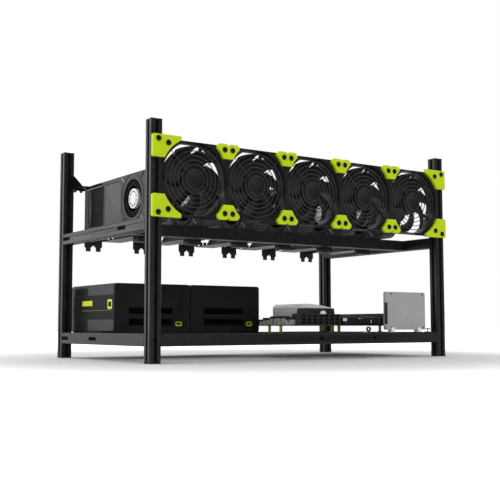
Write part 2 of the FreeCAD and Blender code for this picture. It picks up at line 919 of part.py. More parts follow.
def heat_sink():
    """Black heat sink with sloping ends and upright fins."""
    x0 = board_x + sink_x
    x1 = x0 + sink_length
    y0 = board_front + sink_start
    z0 = board_top()
    s = sink_slope
    top = z0 + sink_height
    shoulder = z0 + sink_base
    outline = [
        (x0, z0),
        (x1, z0),
        (x1, shoulder),
        (x1 - s, top),
        (x0 + s, top),
        (x0, shoulder),
    ]
    body = prism(outline, "y", y0, y0 + sink_depth)
    pitch = (sink_length - 2 * s) / sink_fins
    gaps = []
    for k in range(sink_fins - 1):
        fin_x = x0 + s + pitch * k
        gaps.append(box(fin_x + pitch * sink_fin_share, fin_x + pitch, y0, y0 + sink_depth, shoulder, top))
    return body.cut(Part.makeCompound(gaps))


def cpu_cooler():
    """Low pale cooler: base block and rounded cover."""
    x0 = board_x + cooler_x
    x1 = x0 + cooler_width
    y0 = board_front + cooler_start
    y1 = y0 + cooler_depth
    z0 = board_top()
    r = cooler_round
    base = box(x0 + r, x1 - r, y0 + r, y1 - r, z0, z0 + cooler_base)
    outline = [
        (x0 + r, y0),
        (x1 - r, y0),
        (x1, y0 + r),
        (x1, y1 - r),
        (x1 - r, y1),
        (x0 + r, y1),
        (x0, y1 - r),
        (x0, y0 + r),
    ]
    cover = prism(outline, "z", z0 + cooler_base, z0 + cooler_height)
    return joined(base, cover)


def standoffs():
    """Six-sided brass pillars between the beams and the motherboard."""
    place_x = {
        "left": tray_beam_left_x,
        "right": tray_beam_right_x,
        "side": half_width - half_profile,
    }
    pieces = []
    for seat, setback in standoff_seats:
        x = place_x[seat]
        y = board_front + setback
        washer_top = lower_top + standoff_washer_thickness
        washer = prism(ring_points(x, y, standoff_washer, standoff_washer_sides), "z", lower_top, washer_top)
        pillar_top = lower_top + standoff_height
        pillar = prism(ring_points(x, y, standoff_size, pillar_sides), "z", washer_top, pillar_top)
        pieces.append(joined(washer, pillar))
    return Part.makeCompound(pieces)


def drive():
    """Solid state drive standing on its long edge, with the socket notch at the left end."""
    y0 = front_y + half_profile - drive_thickness / 2
    z0 = lower_top + drive_lift
    body = box(drive_x, drive_x + drive_width, y0, y0 + drive_thickness, z0, z0 + drive_height)
    notch_z = z0 + drive_height / 2 - drive_socket_height / 2
    notch_end = drive_x + drive_socket_depth
    notch_back = y0 + drive_thickness - drive_wall
    notch = box(drive_x, notch_end, y0 + drive_wall, notch_back, notch_z, notch_z + drive_socket_height)
    return body.cut(notch)


def rail_clips():
    """Two clips under the drive, one cable loop and one small tab, all on the front rail."""
    y = front_y + half_profile
    base = lower_top
    t = drive_thickness / 2 + seat_gap
    foot = clip_base / 2
    seat = base + drive_lift
    outline = [
        (y - foot, base),
        (y + foot, base),
        (y + foot, base + clip_wall),
        (y + t + clip_wall, base + clip_wall),
        (y + t + clip_wall, seat + clip_rise),
        (y + t, seat + clip_rise),
        (y + t, seat),
        (y - t, seat),
        (y - t, seat + clip_rise),
        (y - t - clip_wall, seat + clip_rise),
        (y - t - clip_wall, base + clip_wall),
        (y - foot, base + clip_wall),
    ]
    pieces = []
    for x in (drive_x + clip_inset, drive_x + drive_width - clip_inset - clip_width):
        pieces.append(prism(outline, "x", x, x + clip_width))
    turn = 180.0 / loop_sides
    flat = loop_outer / 2 * math.cos(math.pi / loop_sides)
    centre_z = base + clip_wall + flat
    loop_y = y - loop_width / 2
    loop_end = loop_y + loop_width
    loop = prism(ring_points(loop_x, centre_z, loop_outer, loop_sides, turn), "y", loop_y, loop_end)
    hole = prism(ring_points(loop_x, centre_z, loop_inner, loop_sides, turn), "y", loop_y, loop_end)
    pad = box(loop_x - loop_outer / 2, loop_x + loop_outer / 2, y - foot, y + foot, base, base + clip_wall)
    pieces.append(joined(loop.cut(hole), pad))
    tab_x = inner_right - tab_inset
    pieces.append(box(tab_x - tab_width, tab_x, y - foot, y + foot, base, base + tab_height))
    return Part.makeCompound(pieces)


def build():
    """All pieces by name."""
    parts = frame_beams()
    for index in range(fan_count):
        parts["fan_frame_%d" % (index + 1)] = fan_frame(fan_x(index))
        parts["fan_rotor_%d" % (index + 1)] = fan_rotor(fan_x(index))
        parts["fan_guard_%d" % (index + 1)] = fan_guard(fan_x(index))
    parts["corner_plates"] = Part.makeCompound([corner_plate(sx, sz) for sx in (-1, 1) for sz in (1, -1)])
    parts["joint_plates"] = Part.makeCompound([
        joint_plate(fan_x(index) + fan_size / 2, sz) for index in range(fan_count - 1) for sz in (1, -1)
    ])
    parts["plate_screws"] = Part.makeCompound([plate_screw(x, z) for x, z in all_plate_screws()])
    parts["frame_fasteners"] = frame_fasteners()
    boards = []
    brackets = []
    risers = []
    for index in range(card_count):
        x = card_x(index)
        parts["card_shroud_%d" % (index + 1)] = card_shroud(x)
        parts["blower_rotor_%d" % (index + 1)] = blower_rotor(x)
        boards.append(card_board(x))
        brackets.append(card_bracket(x))
        risers += riser(x)
    parts["card_boards"] = Part.makeCompound(boards)
    parts["card_brackets"] = Part.makeCompound(brackets)
    parts["risers"] = Part.makeCompound(risers)
    parts["rear_card_strip"] = rear_strip()
    for name, x in (("left", psu_left_x), ("right", psu_right_x)):
        parts["psu_%s" % name] = psu(x)
        parts["psu_switch_%s" % name] = psu_rocker(x)
    parts["motherboard"] = motherboard()
    parts["heat_sink"] = heat_sink()
    parts["cpu_cooler"] = cpu_cooler()
    parts["standoffs"] = standoffs()
    parts["drive"] = drive()
    parts["rail_clips"] = rail_clips()
    return parts


os.makedirs("parts", exist_ok=True)
for node, shape in build().items():
    shape.exportStep("parts/%s.step" % node)
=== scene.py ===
"""Looks of the open-air mining rig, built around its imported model.

Lengths inside the classes are millimetres and become metres when a mesh is made.
"""

from __future__ import annotations

import json
import logging
import math
from dataclasses import dataclass
from enum import Enum
from typing import Iterable, Sequence

import bmesh
import bpy
from mathutils import Matrix, Vector
from mathutils.geometry import tessellate_polygon

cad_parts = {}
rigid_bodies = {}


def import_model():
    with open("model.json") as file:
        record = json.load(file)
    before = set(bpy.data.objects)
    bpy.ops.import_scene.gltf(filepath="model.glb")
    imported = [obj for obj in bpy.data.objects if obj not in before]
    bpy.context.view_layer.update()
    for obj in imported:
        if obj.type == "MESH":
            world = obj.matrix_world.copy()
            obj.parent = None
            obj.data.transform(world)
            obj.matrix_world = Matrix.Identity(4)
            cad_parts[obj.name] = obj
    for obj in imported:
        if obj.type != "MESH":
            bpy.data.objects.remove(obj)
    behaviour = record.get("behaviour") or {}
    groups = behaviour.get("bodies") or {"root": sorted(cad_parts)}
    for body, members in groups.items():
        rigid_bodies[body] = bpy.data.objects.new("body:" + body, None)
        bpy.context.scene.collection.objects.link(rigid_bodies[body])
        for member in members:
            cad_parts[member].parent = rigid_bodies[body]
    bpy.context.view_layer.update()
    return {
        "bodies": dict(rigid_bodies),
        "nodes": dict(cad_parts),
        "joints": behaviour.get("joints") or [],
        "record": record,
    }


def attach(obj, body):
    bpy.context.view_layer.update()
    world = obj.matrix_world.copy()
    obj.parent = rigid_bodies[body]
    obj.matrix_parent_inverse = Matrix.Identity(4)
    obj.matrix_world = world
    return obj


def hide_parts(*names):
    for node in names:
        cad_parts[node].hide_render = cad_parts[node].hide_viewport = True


LOG = logging.getLogger("rig")
MM = 0.001
Pair = tuple[float, float]
Triple = tuple[float, float, float]


class Across(Enum):
    """Axis that a flat part is thick along."""

    X = "x"
    Y = "y"
    Z = "z"


def laid(across: Across, a: float, b: float, h: float) -> Vector:
    """Puts an outline point at a height.

    Args:
        across: Axis that the part is thick along.
        a: First coordinate of the outline, Y for X and otherwise X.
        b: Second coordinate of the outline, Y for Z and otherwise Z.
        h: Place along the axis.

    Returns:
        The point in metres.
    """
    if across is Across.X:
        return Vector((h, a, b)) * MM
    if across is Across.Y:
        return Vector((a, h, b)) * MM
    return Vector((a, b, h)) * MM


def circle(a: float, b: float, radius: float, count: int = 48, turn: float = 0.0) -> list[Pair]:
    """Points of a circle round a centre."""
    step = 2 * math.pi / count
    return [(a + radius * math.cos(turn + step * k), b + radius * math.sin(turn + step * k)) for k in range(count)]


def rounded(a0: float, a1: float, b0: float, b1: float, radius: float, count: int = 5) -> list[Pair]:
    """Rectangle with round corners.

    Args:
        a0: Low end along the first coordinate.
        a1: High end along the first coordinate.
        b0: Low end along the second coordinate.
        b1: High end along the second coordinate.
        radius: Radius of the corners.
        count: Points in each corner, less one.

    Returns:
        The outline, counter-clockwise.
    """
    points = []
    corners = ((a1 - radius, b0 + radius, -90), (a1 - radius, b1 - radius, 0), (a0 + radius, b1 - radius, 90),
               (a0 + radius, b0 + radius, 180))
    for a, b, start in corners:
        for k in range(count + 1):
            angle = math.radians(start + 90 * k / count)
            points.append((a + radius * math.cos(angle), b + radius * math.sin(angle)))
    return points


def plain(a0: float, a1: float, b0: float, b1: float) -> list[Pair]:
    """Rectangle with sharp corners."""
    return [(a0, b0), (a1, b0), (a1, b1), (a0, b1)]


class Solid:
    """Collects closed shapes, in millimetres, that become one mesh."""

    def __init__(self) -> None:
        """Starts with nothing in it."""
        self.bm = bmesh.new()

    def slab(self, outlines: Sequence[Sequence[Pair]], across: Across, start: float, end: float) -> Solid:
        """Adds a flat part: an outline, with holes in it if more follow.

        Args:
            outlines: The outer outline and then its holes.
            across: Axis that the part is thick along.
            start: Low face.
            end: High face.

        Returns:
            This solid.
        """
        work = bmesh.new()
        rows = []
        for height in (start, end):
            rows.append([[work.verts.new(laid(across, a, b, height)) for a, b in outline] for outline in outlines])
        for low, high in zip(*rows):
            for k in range(len(low)):
                n = (k + 1) % len(low)
                work.faces.new((low[k], low[n], high[n], high[k]))
        flat = [[Vector((a, b, 0.0)) for a, b in outline] for outline in outlines]
        triangles = tessellate_polygon(flat)
        for row in rows:
            verts = [v for outline in row for v in outline]
            for tri in triangles:
                if len(set(tri)) == 3:
                    work.faces.new([verts[k] for k in tri])
        bmesh.ops.recalc_face_normals(work, faces=work.faces)
        bmesh.ops.dissolve_limit(work, angle_limit=0.002, verts=work.verts, edges=work.edges)
        return self._take(work)

    def block(self, x0: float, x1: float, y0: float, y1: float, z0: float, z1: float) -> Solid:
        """Adds a box between two corners."""
        return self.slab([plain(x0, x1, y0, y1)], Across.Z, z0, z1)

    def lathe(self, profile: Sequence[Pair], across: Across, a: float, b: float, count: int = 48,
              loop: bool = False) -> Solid:
        """Adds a turned shape.

        Args:
            profile: Radius and place along the axis, from one end to the other.
            across: The axis that it is turned about.
            a: First coordinate of the axis.
            b: Second coordinate of the axis.
            count: Steps round the axis.
            loop: Whether the profile closes on itself.

        Returns:
            This solid.
        """
        work = bmesh.new()
        rings = []
        for radius, h in profile:
            if radius < 1e-6:
                rings.append([work.verts.new(laid(across, a, b, h))] * count)
            else:
                rings.append([work.verts.new(laid(across, p, q, h)) for p, q in circle(a, b, radius, count)])
        pairs = list(zip(rings, rings[1:]))
        if loop:
            pairs.append((rings[-1], rings[0]))
        for low, high in pairs:
            for k in range(count):
                n = (k + 1) % count
                corners = []
                for v in (low[k], low[n], high[n], high[k]):
                    if v not in corners:
                        corners.append(v)
                if len(corners) > 2:
                    work.faces.new(corners)
        bmesh.ops.recalc_face_normals(work, faces=work.faces)
        return self._take(work)

    def disc(self, across: Across, a: float, b: float, radius: float, start: float, end: float,
             count: int = 48) -> Solid:
        """Adds a plain cylinder."""
        return self.slab([circle(a, b, radius, count)], across, start, end)

    def rod(self, path: Sequence[Triple], radius: float, sides: int = 8) -> Solid:
        """Adds a round wire along straight runs.

        Args:
            path: Points that the wire goes through.
            radius: Radius of the wire.
            sides: Sides of the wire.

        Returns:
            This solid.
        """
        work = bmesh.new()
        points = [Vector(p) for p in path]
        rings = []
        for k, point in enumerate(points):
            ahead = points[min(k + 1, len(points) - 1)] - points[max(k - 1, 0)]
            ahead.normalize()
            side = ahead.orthogonal().normalized() if not rings else (last - ahead * last.dot(ahead)).normalized()
            last = side
            up = ahead.cross(side)
            rings.append([
                work.verts.new((point + (side * math.cos(t) + up * math.sin(t)) * radius) * MM)
                for t in (2 * math.pi * n / sides for n in range(sides))
            ])
        for low, high in zip(rings, rings[1:]):
            for k in range(sides):
                n = (k + 1) % sides
                work.faces.new((low[k], low[n], high[n], high[k]))
        work.faces.new(rings[0])
        work.faces.new(rings[-1])
        bmesh.ops.recalc_face_normals(work, faces=work.faces)
        return self._take(work)

    def skin(self, rows: Sequence[Sequence[Vector]]) -> Solid:
        """Adds a closed shell over a front and a back grid, given one after the other."""
        half = len(rows) // 2
        work = bmesh.new()
        grid = [[work.verts.new(p * MM) for p in row] for row in rows]
        front, back = grid[:half], grid[half:]
        for i in range(half - 1):
            for j in range(len(rows[0]) - 1):
                work.faces.new((front[i][j], front[i][j + 1], front[i + 1][j + 1], front[i + 1][j]))
                work.faces.new((back[i][j], back[i + 1][j], back[i + 1][j + 1], back[i][j + 1]))
        for i in range(half - 1):
            for j in (0, -1):
                work.faces.new((front[i][j], front[i + 1][j], back[i + 1][j], back[i][j]))
        for j in range(len(rows[0]) - 1):
            for i in (0, -1):
                work.faces.new((front[i][j], back[i][j], back[i][j + 1], front[i][j + 1]))
        bmesh.ops.recalc_face_normals(work, faces=work.faces)
        return self._take(work)

    def _take(self, work: bmesh.types.BMesh) -> Solid:
        """Moves a finished shape into this solid."""
        mesh = bpy.data.meshes.new("shape")
        work.to_mesh(mesh)
        work.free()
        self.bm.from_mesh(mesh)
        bpy.data.meshes.remove(mesh)
        return self

    def mesh(self, name: str, bevel: float = 0.0, segments: int = 2, angle: float = 32.0) -> bpy.types.Mesh:
        """Makes the mesh, with its sharp edges rounded.

        Args:
            name: Name of the mesh.
            bevel: Width of the rounding, 0 for none.
            segments: Steps across the rounding.
            angle: Edges sharper than this many degrees are rounded.

        Returns:
            The mesh in metres.
        """
        mesh = bpy.data.meshes.new(name)
        self.bm.to_mesh(mesh)
        self.bm.free()
        return eased(mesh, bevel, segments, angle)


def settled(holder: bpy.types.Object) -> bpy.types.Mesh:
    """Mesh of an object with its modifiers applied; the object is removed."""
    graph = bpy.context.evaluated_depsgraph_get()
    mesh = bpy.data.meshes.new_from_object(holder.evaluated_get(graph))
    bpy.data.objects.remove(holder)
    return mesh


def eased(mesh: bpy.types.Mesh, bevel: float, segments: int = 2, angle: float = 32.0) -> bpy.types.Mesh:
    """Rounds the sharp edges of a mesh and sets its shading.

    Args:
        mesh: The mesh.
        bevel: Width of the rounding in millimetres, 0 for none.
        segments: Steps across the rounding.
        angle: Edges sharper than this many degrees are rounded.

    Returns:
        The finished mesh.
    """
    if bevel > 0:
        holder = bpy.data.objects.new("holder", mesh)
        bpy.context.scene.collection.objects.link(holder)
        modifier = holder.modifiers.new("edges", "BEVEL")
        modifier.width = bevel * MM
        modifier.segments = segments
        modifier.limit_method = "ANGLE"
        modifier.angle_limit = math.radians(angle)
        modifier.use_clamp_overlap = True
        mesh = settled(holder)
    mesh.shade_smooth()
    mesh.set_sharp_from_angle(angle=math.radians(angle))
    return mesh


def carved(mesh: bpy.types.Mesh, cutters: Sequence[Solid]) -> bpy.types.Mesh:
    """Cuts solids out of a mesh.

    Args:
        mesh: What is cut.
        cutters: What is taken away, one after the other.

    Returns:
        The cut mesh.
    """
    holder = bpy.data.objects.new("holder", mesh)
    bpy.context.scene.collection.objects.link(holder)
    tools = []
    for cutter in cutters:
        tool = bpy.data.objects.new("tool", cutter.mesh("tool"))
        bpy.context.scene.collection.objects.link(tool)
        tools.append(tool)
        modifier = holder.modifiers.new("cut", "BOOLEAN")
        modifier.operation = "DIFFERENCE"
        modifier.solver = "EXACT"
        modifier.object = tool
    mesh = settled(holder)
    for tool in tools:
        bpy.data.objects.remove(tool)
    work = bmesh.new()
    work.from_mesh(mesh)
    bmesh.ops.remove_doubles(work, verts=work.verts, dist=0.000001)
    bmesh.ops.dissolve_limit(work, angle_limit=0.002, verts=work.verts, edges=work.edges)
    work.to_mesh(mesh)
    work.free()
    return mesh


def moved(mesh: bpy.types.Mesh, x: float = 0.0, y: float = 0.0, z: float = 0.0,
          turn: Matrix | None = None) -> bpy.types.Mesh:
    """Copy of a mesh, turned about the origin and then moved by millimetres."""
    copy = mesh.copy()
    if turn is not None:
        copy.transform(turn)
    copy.transform(Matrix.Translation(Vector((x, y, z)) * MM))
    return copy


class Socket(Enum):
    """Kinds of input that a node tree takes."""

    GEOMETRY = "NodeSocketGeometry"
    COUNT = "NodeSocketInt"
    NUMBER = "NodeSocketFloat"
    VECTOR = "NodeSocketVector"
    MATERIAL = "NodeSocketMaterial"
    OBJECT = "NodeSocketObject"


class Tree:
    """A geometry node tree with named inputs."""

    def __init__(self, name: str, inputs: Sequence[tuple[str, Socket]]) -> None:
        """Makes the tree and its sockets.

        Args:
            name: Name of the tree.
            inputs: Name and kind of each input after the geometry.
        """
        self.tree = bpy.data.node_groups.new(name, "GeometryNodeTree")
        self.ids: dict[str, str] = {}
        self.tree.interface.new_socket("Geometry", in_out="INPUT", socket_type=Socket.GEOMETRY.value)
        for label, kind in inputs:
            made = self.tree.interface.new_socket(label, in_out="INPUT", socket_type=kind.value)
            self.ids[label] = made.identifier
        self.tree.interface.new_socket("Geometry", in_out="OUTPUT", socket_type=Socket.GEOMETRY.value)
        self.start = self.tree.nodes.new("NodeGroupInput")
        self.end = self.tree.nodes.new("NodeGroupOutput")

    def node(self, kind: str, links: dict[str | int, bpy.types.NodeSocket] | None = None,
             **values: object) -> bpy.types.Node:
        """Adds a node.

        Args:
            kind: Type of the node.
            links: Sockets to join to its inputs.
            **values: Settings of the node.

        Returns:
            The node.
        """
        made = self.tree.nodes.new(kind)
        for key, value in values.items():
            setattr(made, key, value)
        for key, socket in (links or {}).items():
            self.tree.links.new(socket, made.inputs[key])
        return made

    def close(self, geometry: bpy.types.NodeSocket) -> None:
        """Ends the tree with real geometry and its material."""
        real = self.node("GeometryNodeRealizeInstances", {"Geometry": geometry})
        coat = self.node("GeometryNodeSetMaterial",
                         {"Geometry": real.outputs[0], "Material": self.start.outputs["Material"]})
        self.tree.links.new(coat.outputs[0], self.end.inputs[0])

    def run(self, mesh: bpy.types.Mesh, values: dict[str, object]) -> bpy.types.Mesh:
        """Puts the tree on a mesh.

        Args:
            mesh: The mesh that it starts from.
            values: A value for each named input.

        Returns:
            The plain mesh that comes out.
        """
        holder = bpy.data.objects.new("holder", mesh)
        bpy.context.scene.collection.objects.link(holder)
        modifier = holder.modifiers.new("repeat", "NODES")
        modifier.node_group = self.tree
        for label, value in values.items():
            modifier[self.ids[label]] = value
        return settled(holder)


class Repeats:
    """The node trees for what repeats on the rig."""

    def __init__(self) -> None:
        """Builds the four trees once."""
        self.round_tree = self._round()
        self.grid_tree = self._grid()
        self.ring_tree = self._rings()
        self.place_tree = self._places()

    @staticmethod
    def _round() -> Tree:
        """Copies of a piece turned round an axis through the origin."""
        tree = Tree("turned_copies",
                    [("Count", Socket.COUNT), ("Step", Socket.VECTOR), ("Material", Socket.MATERIAL)])
        line = tree.node("GeometryNodeMeshLine", {"Count": tree.start.outputs["Count"]})
        line.inputs["Offset"].default_value = (0.0, 0.0, 0.0)
        index = tree.node("GeometryNodeInputIndex")
        turn = tree.node("ShaderNodeVectorMath", {0: tree.start.outputs["Step"], "Scale": index.outputs[0]},
                         operation="SCALE")
        copies = tree.node("GeometryNodeInstanceOnPoints", {
            "Points": line.outputs[0], "Instance": tree.start.outputs["Geometry"], "Rotation": turn.outputs[0],
        })
        tree.close(copies.outputs[0])
        return tree

    @staticmethod
    def _grid() -> Tree:
        """Copies of a piece along two directions."""
        tree = Tree("rows_of_copies", [
            ("Count", Socket.COUNT), ("Offset", Socket.VECTOR), ("Rows", Socket.COUNT), ("Row offset", Socket.VECTOR),
            ("Material", Socket.MATERIAL),
        ])
        geometry = tree.start.outputs["Geometry"]
        for count, offset in (("Count", "Offset"), ("Rows", "Row offset")):
            line = tree.node("GeometryNodeMeshLine",
                             {"Count": tree.start.outputs[count], "Offset": tree.start.outputs[offset]})
            copies = tree.node("GeometryNodeInstanceOnPoints", {"Points": line.outputs[0], "Instance": geometry})
            geometry = copies.outputs[0]
        tree.close(geometry)
        return tree

    @staticmethod
    def _rings() -> Tree:
        """Round wires that share a centre, standing across Y."""
        tree = Tree("ring_wires", [
            ("Count", Socket.COUNT), ("First radius", Socket.NUMBER), ("Pitch", Socket.NUMBER),
            ("Wire radius", Socket.NUMBER),
            ("Material", Socket.MATERIAL),
        ])
        line = tree.node("GeometryNodeMeshLine", {"Count": tree.start.outputs["Count"]})
        line.inputs["Offset"].default_value = (0.0, 0.0, 0.0)
        loop = tree.node("GeometryNodeCurvePrimitiveCircle")
        loop.inputs["Resolution"].default_value = 72
        index = tree.node("GeometryNodeInputIndex")
        size = tree.node("ShaderNodeMath", {
            0: index.outputs[0], 1: tree.start.outputs["Pitch"], 2: tree.start.outputs["First radius"],
        }, operation="MULTIPLY_ADD")
        copies = tree.node("GeometryNodeInstanceOnPoints", {
            "Points": line.outputs[0], "Instance": loop.outputs[0], "Scale": size.outputs[0],
        })
        copies.inputs["Rotation"].default_value = (math.pi / 2, 0.0, 0.0)
        real = tree.node("GeometryNodeRealizeInstances", {"Geometry": copies.outputs[0]})
        wire = tree.node("GeometryNodeCurvePrimitiveCircle", {"Radius": tree.start.outputs["Wire radius"]})
        wire.inputs["Resolution"].default_value = 8
        body = tree.node("GeometryNodeCurveToMesh", {"Curve": real.outputs[0], "Profile Curve": wire.outputs[0]})
        tree.close(body.outputs[0])
        return tree

    @staticmethod
    def _places() -> Tree:
        """A copy of another piece at each point."""
        tree = Tree("placed_copies", [("Item", Socket.OBJECT), ("Material", Socket.MATERIAL)])
        item = tree.node("GeometryNodeObjectInfo", {"Object": tree.start.outputs["Item"]})
        item.inputs["As Instance"].default_value = True
        copies = tree.node("GeometryNodeInstanceOnPoints", {
            "Points": tree.start.outputs["Geometry"], "Instance": item.outputs["Geometry"],
        })
        tree.close(copies.outputs[0])
        return tree

    def turned(self, mesh: bpy.types.Mesh, count: int, step: Triple, material: bpy.types.Material) -> bpy.types.Mesh:
        """Copies turned about the origin, by an angle in radians about one axis for each step."""
        return self.round_tree.run(mesh, {"Count": count, "Step": step, "Material": material})

    def rows(self, mesh: bpy.types.Mesh, material: bpy.types.Material, count: int, offset: Triple, rows: int = 1,
             row_offset: Triple = (0.0, 0.0, 0.0)) -> bpy.types.Mesh:
        """Copies in rows, with offsets in millimetres."""
        return self.grid_tree.run(mesh, {
            "Count": count, "Offset": [v * MM for v in offset], "Rows": rows,
            "Row offset": [v * MM for v in row_offset],
            "Material": material,
        })

    def rings(self, count: int, first: float, pitch: float, wire: float,
              material: bpy.types.Material) -> bpy.types.Mesh:
        """Round wires about the origin, with radii in millimetres."""
        empty = bpy.data.meshes.new("start")
        return self.ring_tree.run(empty, {
            "Count": count, "First radius": first * MM, "Pitch": pitch * MM, "Wire radius": wire * MM,
            "Material": material,
        })

    def placed(self, mesh: bpy.types.Mesh, points: Iterable[Triple], material: bpy.types.Material) -> bpy.types.Mesh:
        """A copy of a mesh at each point, given in millimetres."""
        item = bpy.data.objects.new("item", mesh)
        cloud = bpy.data.meshes.new("points")
        cloud.from_pydata([[v * MM for v in p] for p in points], [], [])
        made = self.place_tree.run(cloud, {"Item": item, "Material": material})
        bpy.data.objects.remove(item)
        return made


@dataclass(frozen=True)
class Finish:
    """One finish: its colours, its gloss and its grain."""

    name: str
    colour: Triple
    second: Triple
    roughness: float
    spread: float = 0.08
    metallic: float = 0.0
    specular: float = 0.5
    grain: float = 900.0
    stretch: Triple = (1.0, 1.0, 1.0)
    bump: float = 0.15
    depth: float = 0.00005
    wear: float = 0.25
    worn: Triple = (0.2, 0.2, 0.2)
    dust: float = 0.05


class Effects:
    """Shader node groups that the finishes share."""

    def __init__(self) -> None:
        """Builds each group once."""
        self.grain = self._grain()
        self.wear = self._wear()
        self.dust = self._dust()

    @staticmethod
    def _group(name: str, inputs: Sequence[tuple[str, str]],
               outputs: Sequence[tuple[str, str]]) -> bpy.types.NodeTree:
        """Makes an empty group with its sockets."""
        tree = bpy.data.node_groups.new(name, "ShaderNodeTree")
        for label, kind in inputs:
            tree.interface.new_socket(label, in_out="INPUT", socket_type=kind)
        for label, kind in outputs:
            tree.interface.new_socket(label, in_out="OUTPUT", socket_type=kind)
        tree.nodes.new("NodeGroupInput").name = "start"
        tree.nodes.new("NodeGroupOutput").name = "end"
        return tree

    def _grain(self) -> bpy.types.NodeTree:
        """Fine and coarse grain: a mask for colour, a value for gloss and a height."""
        tree = self._group("surface_grain", [
            ("Vector", "NodeSocketVector"), ("Stretch", "NodeSocketVector"), ("Scale", "NodeSocketFloat"),
        ], [("Mask", "NodeSocketFloat"), ("Gloss", "NodeSocketFloat"), ("Height", "NodeSocketFloat")])
        start, end = tree.nodes["start"], tree.nodes["end"]
        scaled = tree.nodes.new("ShaderNodeVectorMath")
        scaled.operation = "MULTIPLY"
        tree.links.new(start.outputs["Vector"], scaled.inputs[0])
        tree.links.new(start.outputs["Stretch"], scaled.inputs[1])
        fine = tree.nodes.new("ShaderNodeTexNoise")
        fine.inputs["Detail"].default_value = 3.0
        tree.links.new(scaled.outputs[0], fine.inputs["Vector"])
        tree.links.new(start.outputs["Scale"], fine.inputs["Scale"])
        coarse = tree.nodes.new("ShaderNodeTexNoise")
        coarse.inputs["Scale"].default_value = 22.0
        coarse.inputs["Detail"].default_value = 4.0
        tree.links.new(start.outputs["Vector"], coarse.inputs["Vector"])
        mask = tree.nodes.new("ShaderNodeMapRange")
        mask.inputs["From Min"].default_value = 0.35
        mask.inputs["From Max"].default_value = 0.65
        tree.links.new(coarse.outputs[0], mask.inputs["Value"])
        gloss = tree.nodes.new("ShaderNodeMath")
        gloss.operation = "MULTIPLY"
        tree.links.new(coarse.outputs[0], gloss.inputs[0])
        tree.links.new(fine.outputs[0], gloss.inputs[1])
        tree.links.new(mask.outputs[0], end.inputs["Mask"])
        tree.links.new(gloss.outputs[0], end.inputs["Gloss"])
        tree.links.new(fine.outputs[0], end.inputs["Height"])
        return tree

    def _wear(self) -> bpy.types.NodeTree:
        """Where edges are rubbed: convex edges broken up by noise."""
        tree = self._group("edge_wear", [
            ("Vector", "NodeSocketVector"), ("Pointiness", "NodeSocketFloat"), ("Amount", "NodeSocketFloat"),
        ], [("Mask", "NodeSocketFloat")])
        start, end = tree.nodes["start"], tree.nodes["end"]
        edge = tree.nodes.new("ShaderNodeMapRange")
        edge.inputs["From Min"].default_value = 0.53
        edge.inputs["From Max"].default_value = 0.64
        tree.links.new(start.outputs["Pointiness"], edge.inputs["Value"])
        noise = tree.nodes.new("ShaderNodeTexNoise")
        noise.inputs["Scale"].default_value = 160.0
        noise.inputs["Detail"].default_value = 3.0
        tree.links.new(start.outputs["Vector"], noise.inputs["Vector"])
        broken = tree.nodes.new("ShaderNodeMath")
        broken.operation = "MULTIPLY"
        tree.links.new(edge.outputs[0], broken.inputs[0])
        tree.links.new(noise.outputs[0], broken.inputs[1])
        amount = tree.nodes.new("ShaderNodeMath")
        amount.operation = "MULTIPLY"
        amount.use_clamp = True
        tree.links.new(broken.outputs[0], amount.inputs[0])
        tree.links.new(start.outputs["Amount"], amount.inputs[1])
        tree.links.new(amount.outputs[0], end.inputs["Mask"])
        return tree

    def _dust(self) -> bpy.types.NodeTree:
        """A thin film on what faces up."""
        tree = self._group("dust_film", [
            ("Vector", "NodeSocketVector"), ("Facing", "NodeSocketVector"), ("Amount", "NodeSocketFloat"),
        ], [("Mask", "NodeSocketFloat")])
        start, end = tree.nodes["start"], tree.nodes["end"]
        parts = tree.nodes.new("ShaderNodeSeparateXYZ")
        tree.links.new(start.outputs["Facing"], parts.inputs[0])
        up = tree.nodes.new("ShaderNodeMapRange")
        up.inputs["From Min"].default_value = 0.7
        up.inputs["From Max"].default_value = 1.0
        tree.links.new(parts.outputs["Z"], up.inputs["Value"])
        noise = tree.nodes.new("ShaderNodeTexNoise")
        noise.inputs["Scale"].default_value = 60.0
        noise.inputs["Detail"].default_value = 5.0
        tree.links.new(start.outputs["Vector"], noise.inputs["Vector"])
        film = tree.nodes.new("ShaderNodeMath")
        film.operation = "MULTIPLY"
        tree.links.new(up.outputs[0], film.inputs[0])
        tree.links.new(noise.outputs[0], film.inputs[1])
        amount = tree.nodes.new("ShaderNodeMath")
        amount.operation = "MULTIPLY"
        tree.links.new(film.outputs[0], amount.inputs[0])
        tree.links.new(start.outputs["Amount"], amount.inputs[1])
        tree.links.new(amount.outputs[0], end.inputs["Mask"])
        return tree


